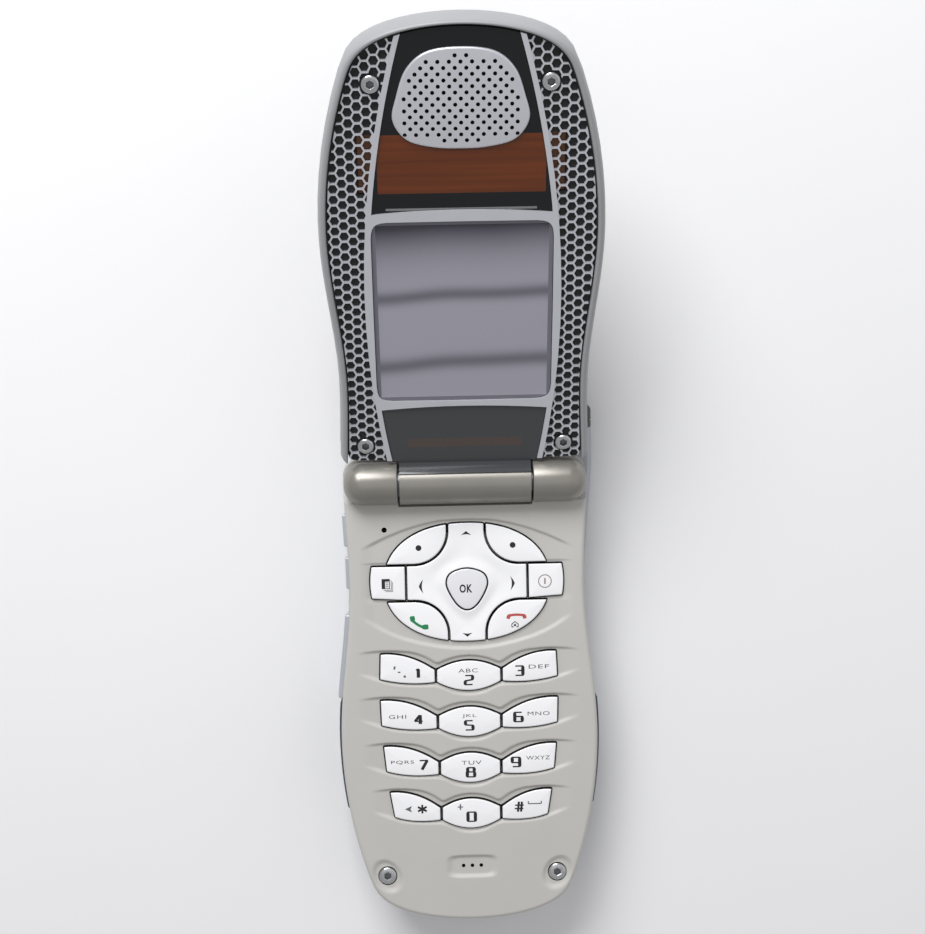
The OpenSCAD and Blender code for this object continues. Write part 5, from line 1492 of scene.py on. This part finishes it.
# A key of the left flank: a rounded pillow over a rectangle of d and height, laid on the
# flank's curve and pushed out of it.
def makeFlankKey(name, along, heights, proud):
    spec = dict(flankCap, top=proud - flankCap["crown"])
    spec["black"] = spec["top"] - spec["fillet"] - 0.05
    (a, b), (low, high) = along, heights
    loop = np.array([[a, low], [b, low], [b, high], [a, high]])
    place = lambda p: onBase(np.stack([-(sideAt(p[..., 0]) + p[..., 2]), p[..., 0],
                                       p[..., 1]], -1))
    fine = softLoop(loop, 400, 0)
    newPiece(name + "_cap", capMesh(fine, spec, place), [stock["silver painted key"]], name,
             [name], 40)


for name, along in zip(("volume_up", "volume_down"), flanks["volume"]):
    makeFlankKey(name, along, flanks["volumeHeight"], flanks["volumeProud"])
makeFlankKey("talk_button", flanks["talk"], flanks["talkHeight"], flanks["talkProud"])

gripPad = {"proud": 0.05, "ridge": 0.22, "pitch": 1.75, "edge": 0.5, "deep": 0.85}


# A grip pad: out(d, height) = proud - ridge (1 - cos(2 pi d / pitch)) / 2, less a round
# drop at its edges; the outermost rows and columns go straight back to the pad's foot.
def makeGrip(hand):
    spec = gripPad
    (a, b), (low, high) = flanks["grip"], flanks["gripHeight"]
    ends = np.array([0, .04, .12, .22, .34, .5])
    d = np.concatenate([a + ends, np.linspace(a + 0.6, b - 0.6, 150), (b - ends)[::-1]])
    h = np.concatenate([low + ends, np.linspace(low + 0.7, high - 0.7, 12), (high - ends)[::-1]])
    d, h = np.pad(d, 1, "edge"), np.pad(h, 1, "edge")
    dd, hh = np.meshgrid(d, h, indexing="ij")
    near = np.minimum(np.minimum(dd - a, b - dd), np.minimum(hh - low, high - hh))
    drop = np.clip(spec["edge"] - near, 0, spec["edge"])
    out = spec["proud"] - spec["edge"] + np.sqrt(spec["edge"] ** 2 - drop ** 2)
    out -= spec["ridge"] * (0.5 - 0.5 * np.cos(2 * math.pi * (dd - a) / spec["pitch"])) \
        * ease((near - 0.4) / 0.6)
    out[[0, -1], :] = out[:, [0, -1]] = -spec["deep"]
    sign = -1 if hand == "left" else 1
    points = onBase(np.stack([sign * (sideAt(dd) + out), dd, hh], -1).reshape(-1, 3))
    mesh = newMesh("grip", points, [gridQuads(len(d), len(h), closed=False)])
    b = bmesh.new()
    b.from_mesh(mesh)
    bmesh.ops.remove_doubles(b, verts=b.verts, dist=0.002 * mm)
    bmesh.ops.holes_fill(b, edges=b.edges, sides=0)
    b.to_mesh(mesh)
    b.free()
    tidyMesh(mesh, 0.001)
    newPiece("grip_pad_" + hand, mesh, [stock["soft-touch rubber"]], "base",
             ["side_grip_" + hand], 50)


for hand in ("left", "right"):
    makeGrip(hand)
print("flank keys and grips made")

# Every slot of the record and the finish of its CAD parts.
slotFinish = {
    "face": "matte lacquered polycarbonate", "back": "cool silver lacquer",
    "lid_body": "grey lacquered lid plastic", "hinge_metal": "satin painted zinc",
    "steel": "nickel-plated steel", "board": "solder-masked board",
    "silicone": "milky silicone", "grip": "soft-touch rubber",
    "battery_wrap": "dark printed film", "black": "black moulded plastic",
    "dark_knob": "moulded black nylon", "flank_key": "silver painted key", "key": "key",
    "frame_silver": "metallised silver plastic", "smoked": "window", "lens": "screen",
    "flex": "copper-brown polyimide"}
partMesh = {"splitAngle": 28, "weld": 0.002}


# The CAD parts keep their meshes: their triangles are welded, then split at real edges so
# that curves are smooth and corners stay crisp.
def finishParts():
    for part in frame["record"]["subparts"]:
        node = bpy.data.objects.get(part["node"])
        finish = slotFinish[part["material_slot"]]
        # The hinge's cartridge and pin, seen only in the gaps, are darkened as painted shade.
        if part["node"] in ("hinge_cartridge", "hinge_pin"):
            finish = "steel darkened by painted shade"
        material = stock[finish]
        node.data.materials.clear()
        node.data.materials.append(material)
        node.data.polygons.foreach_set("use_smooth", np.ones(len(node.data.polygons), bool))
        weld = node.modifiers.new("weld", "WELD")
        weld.merge_threshold = partMesh["weld"] * mm
        split = node.modifiers.new("split", "EDGE_SPLIT")
        split.split_angle = math.radians(partMesh["splitAngle"])


finishParts()
print("CAD parts finished")
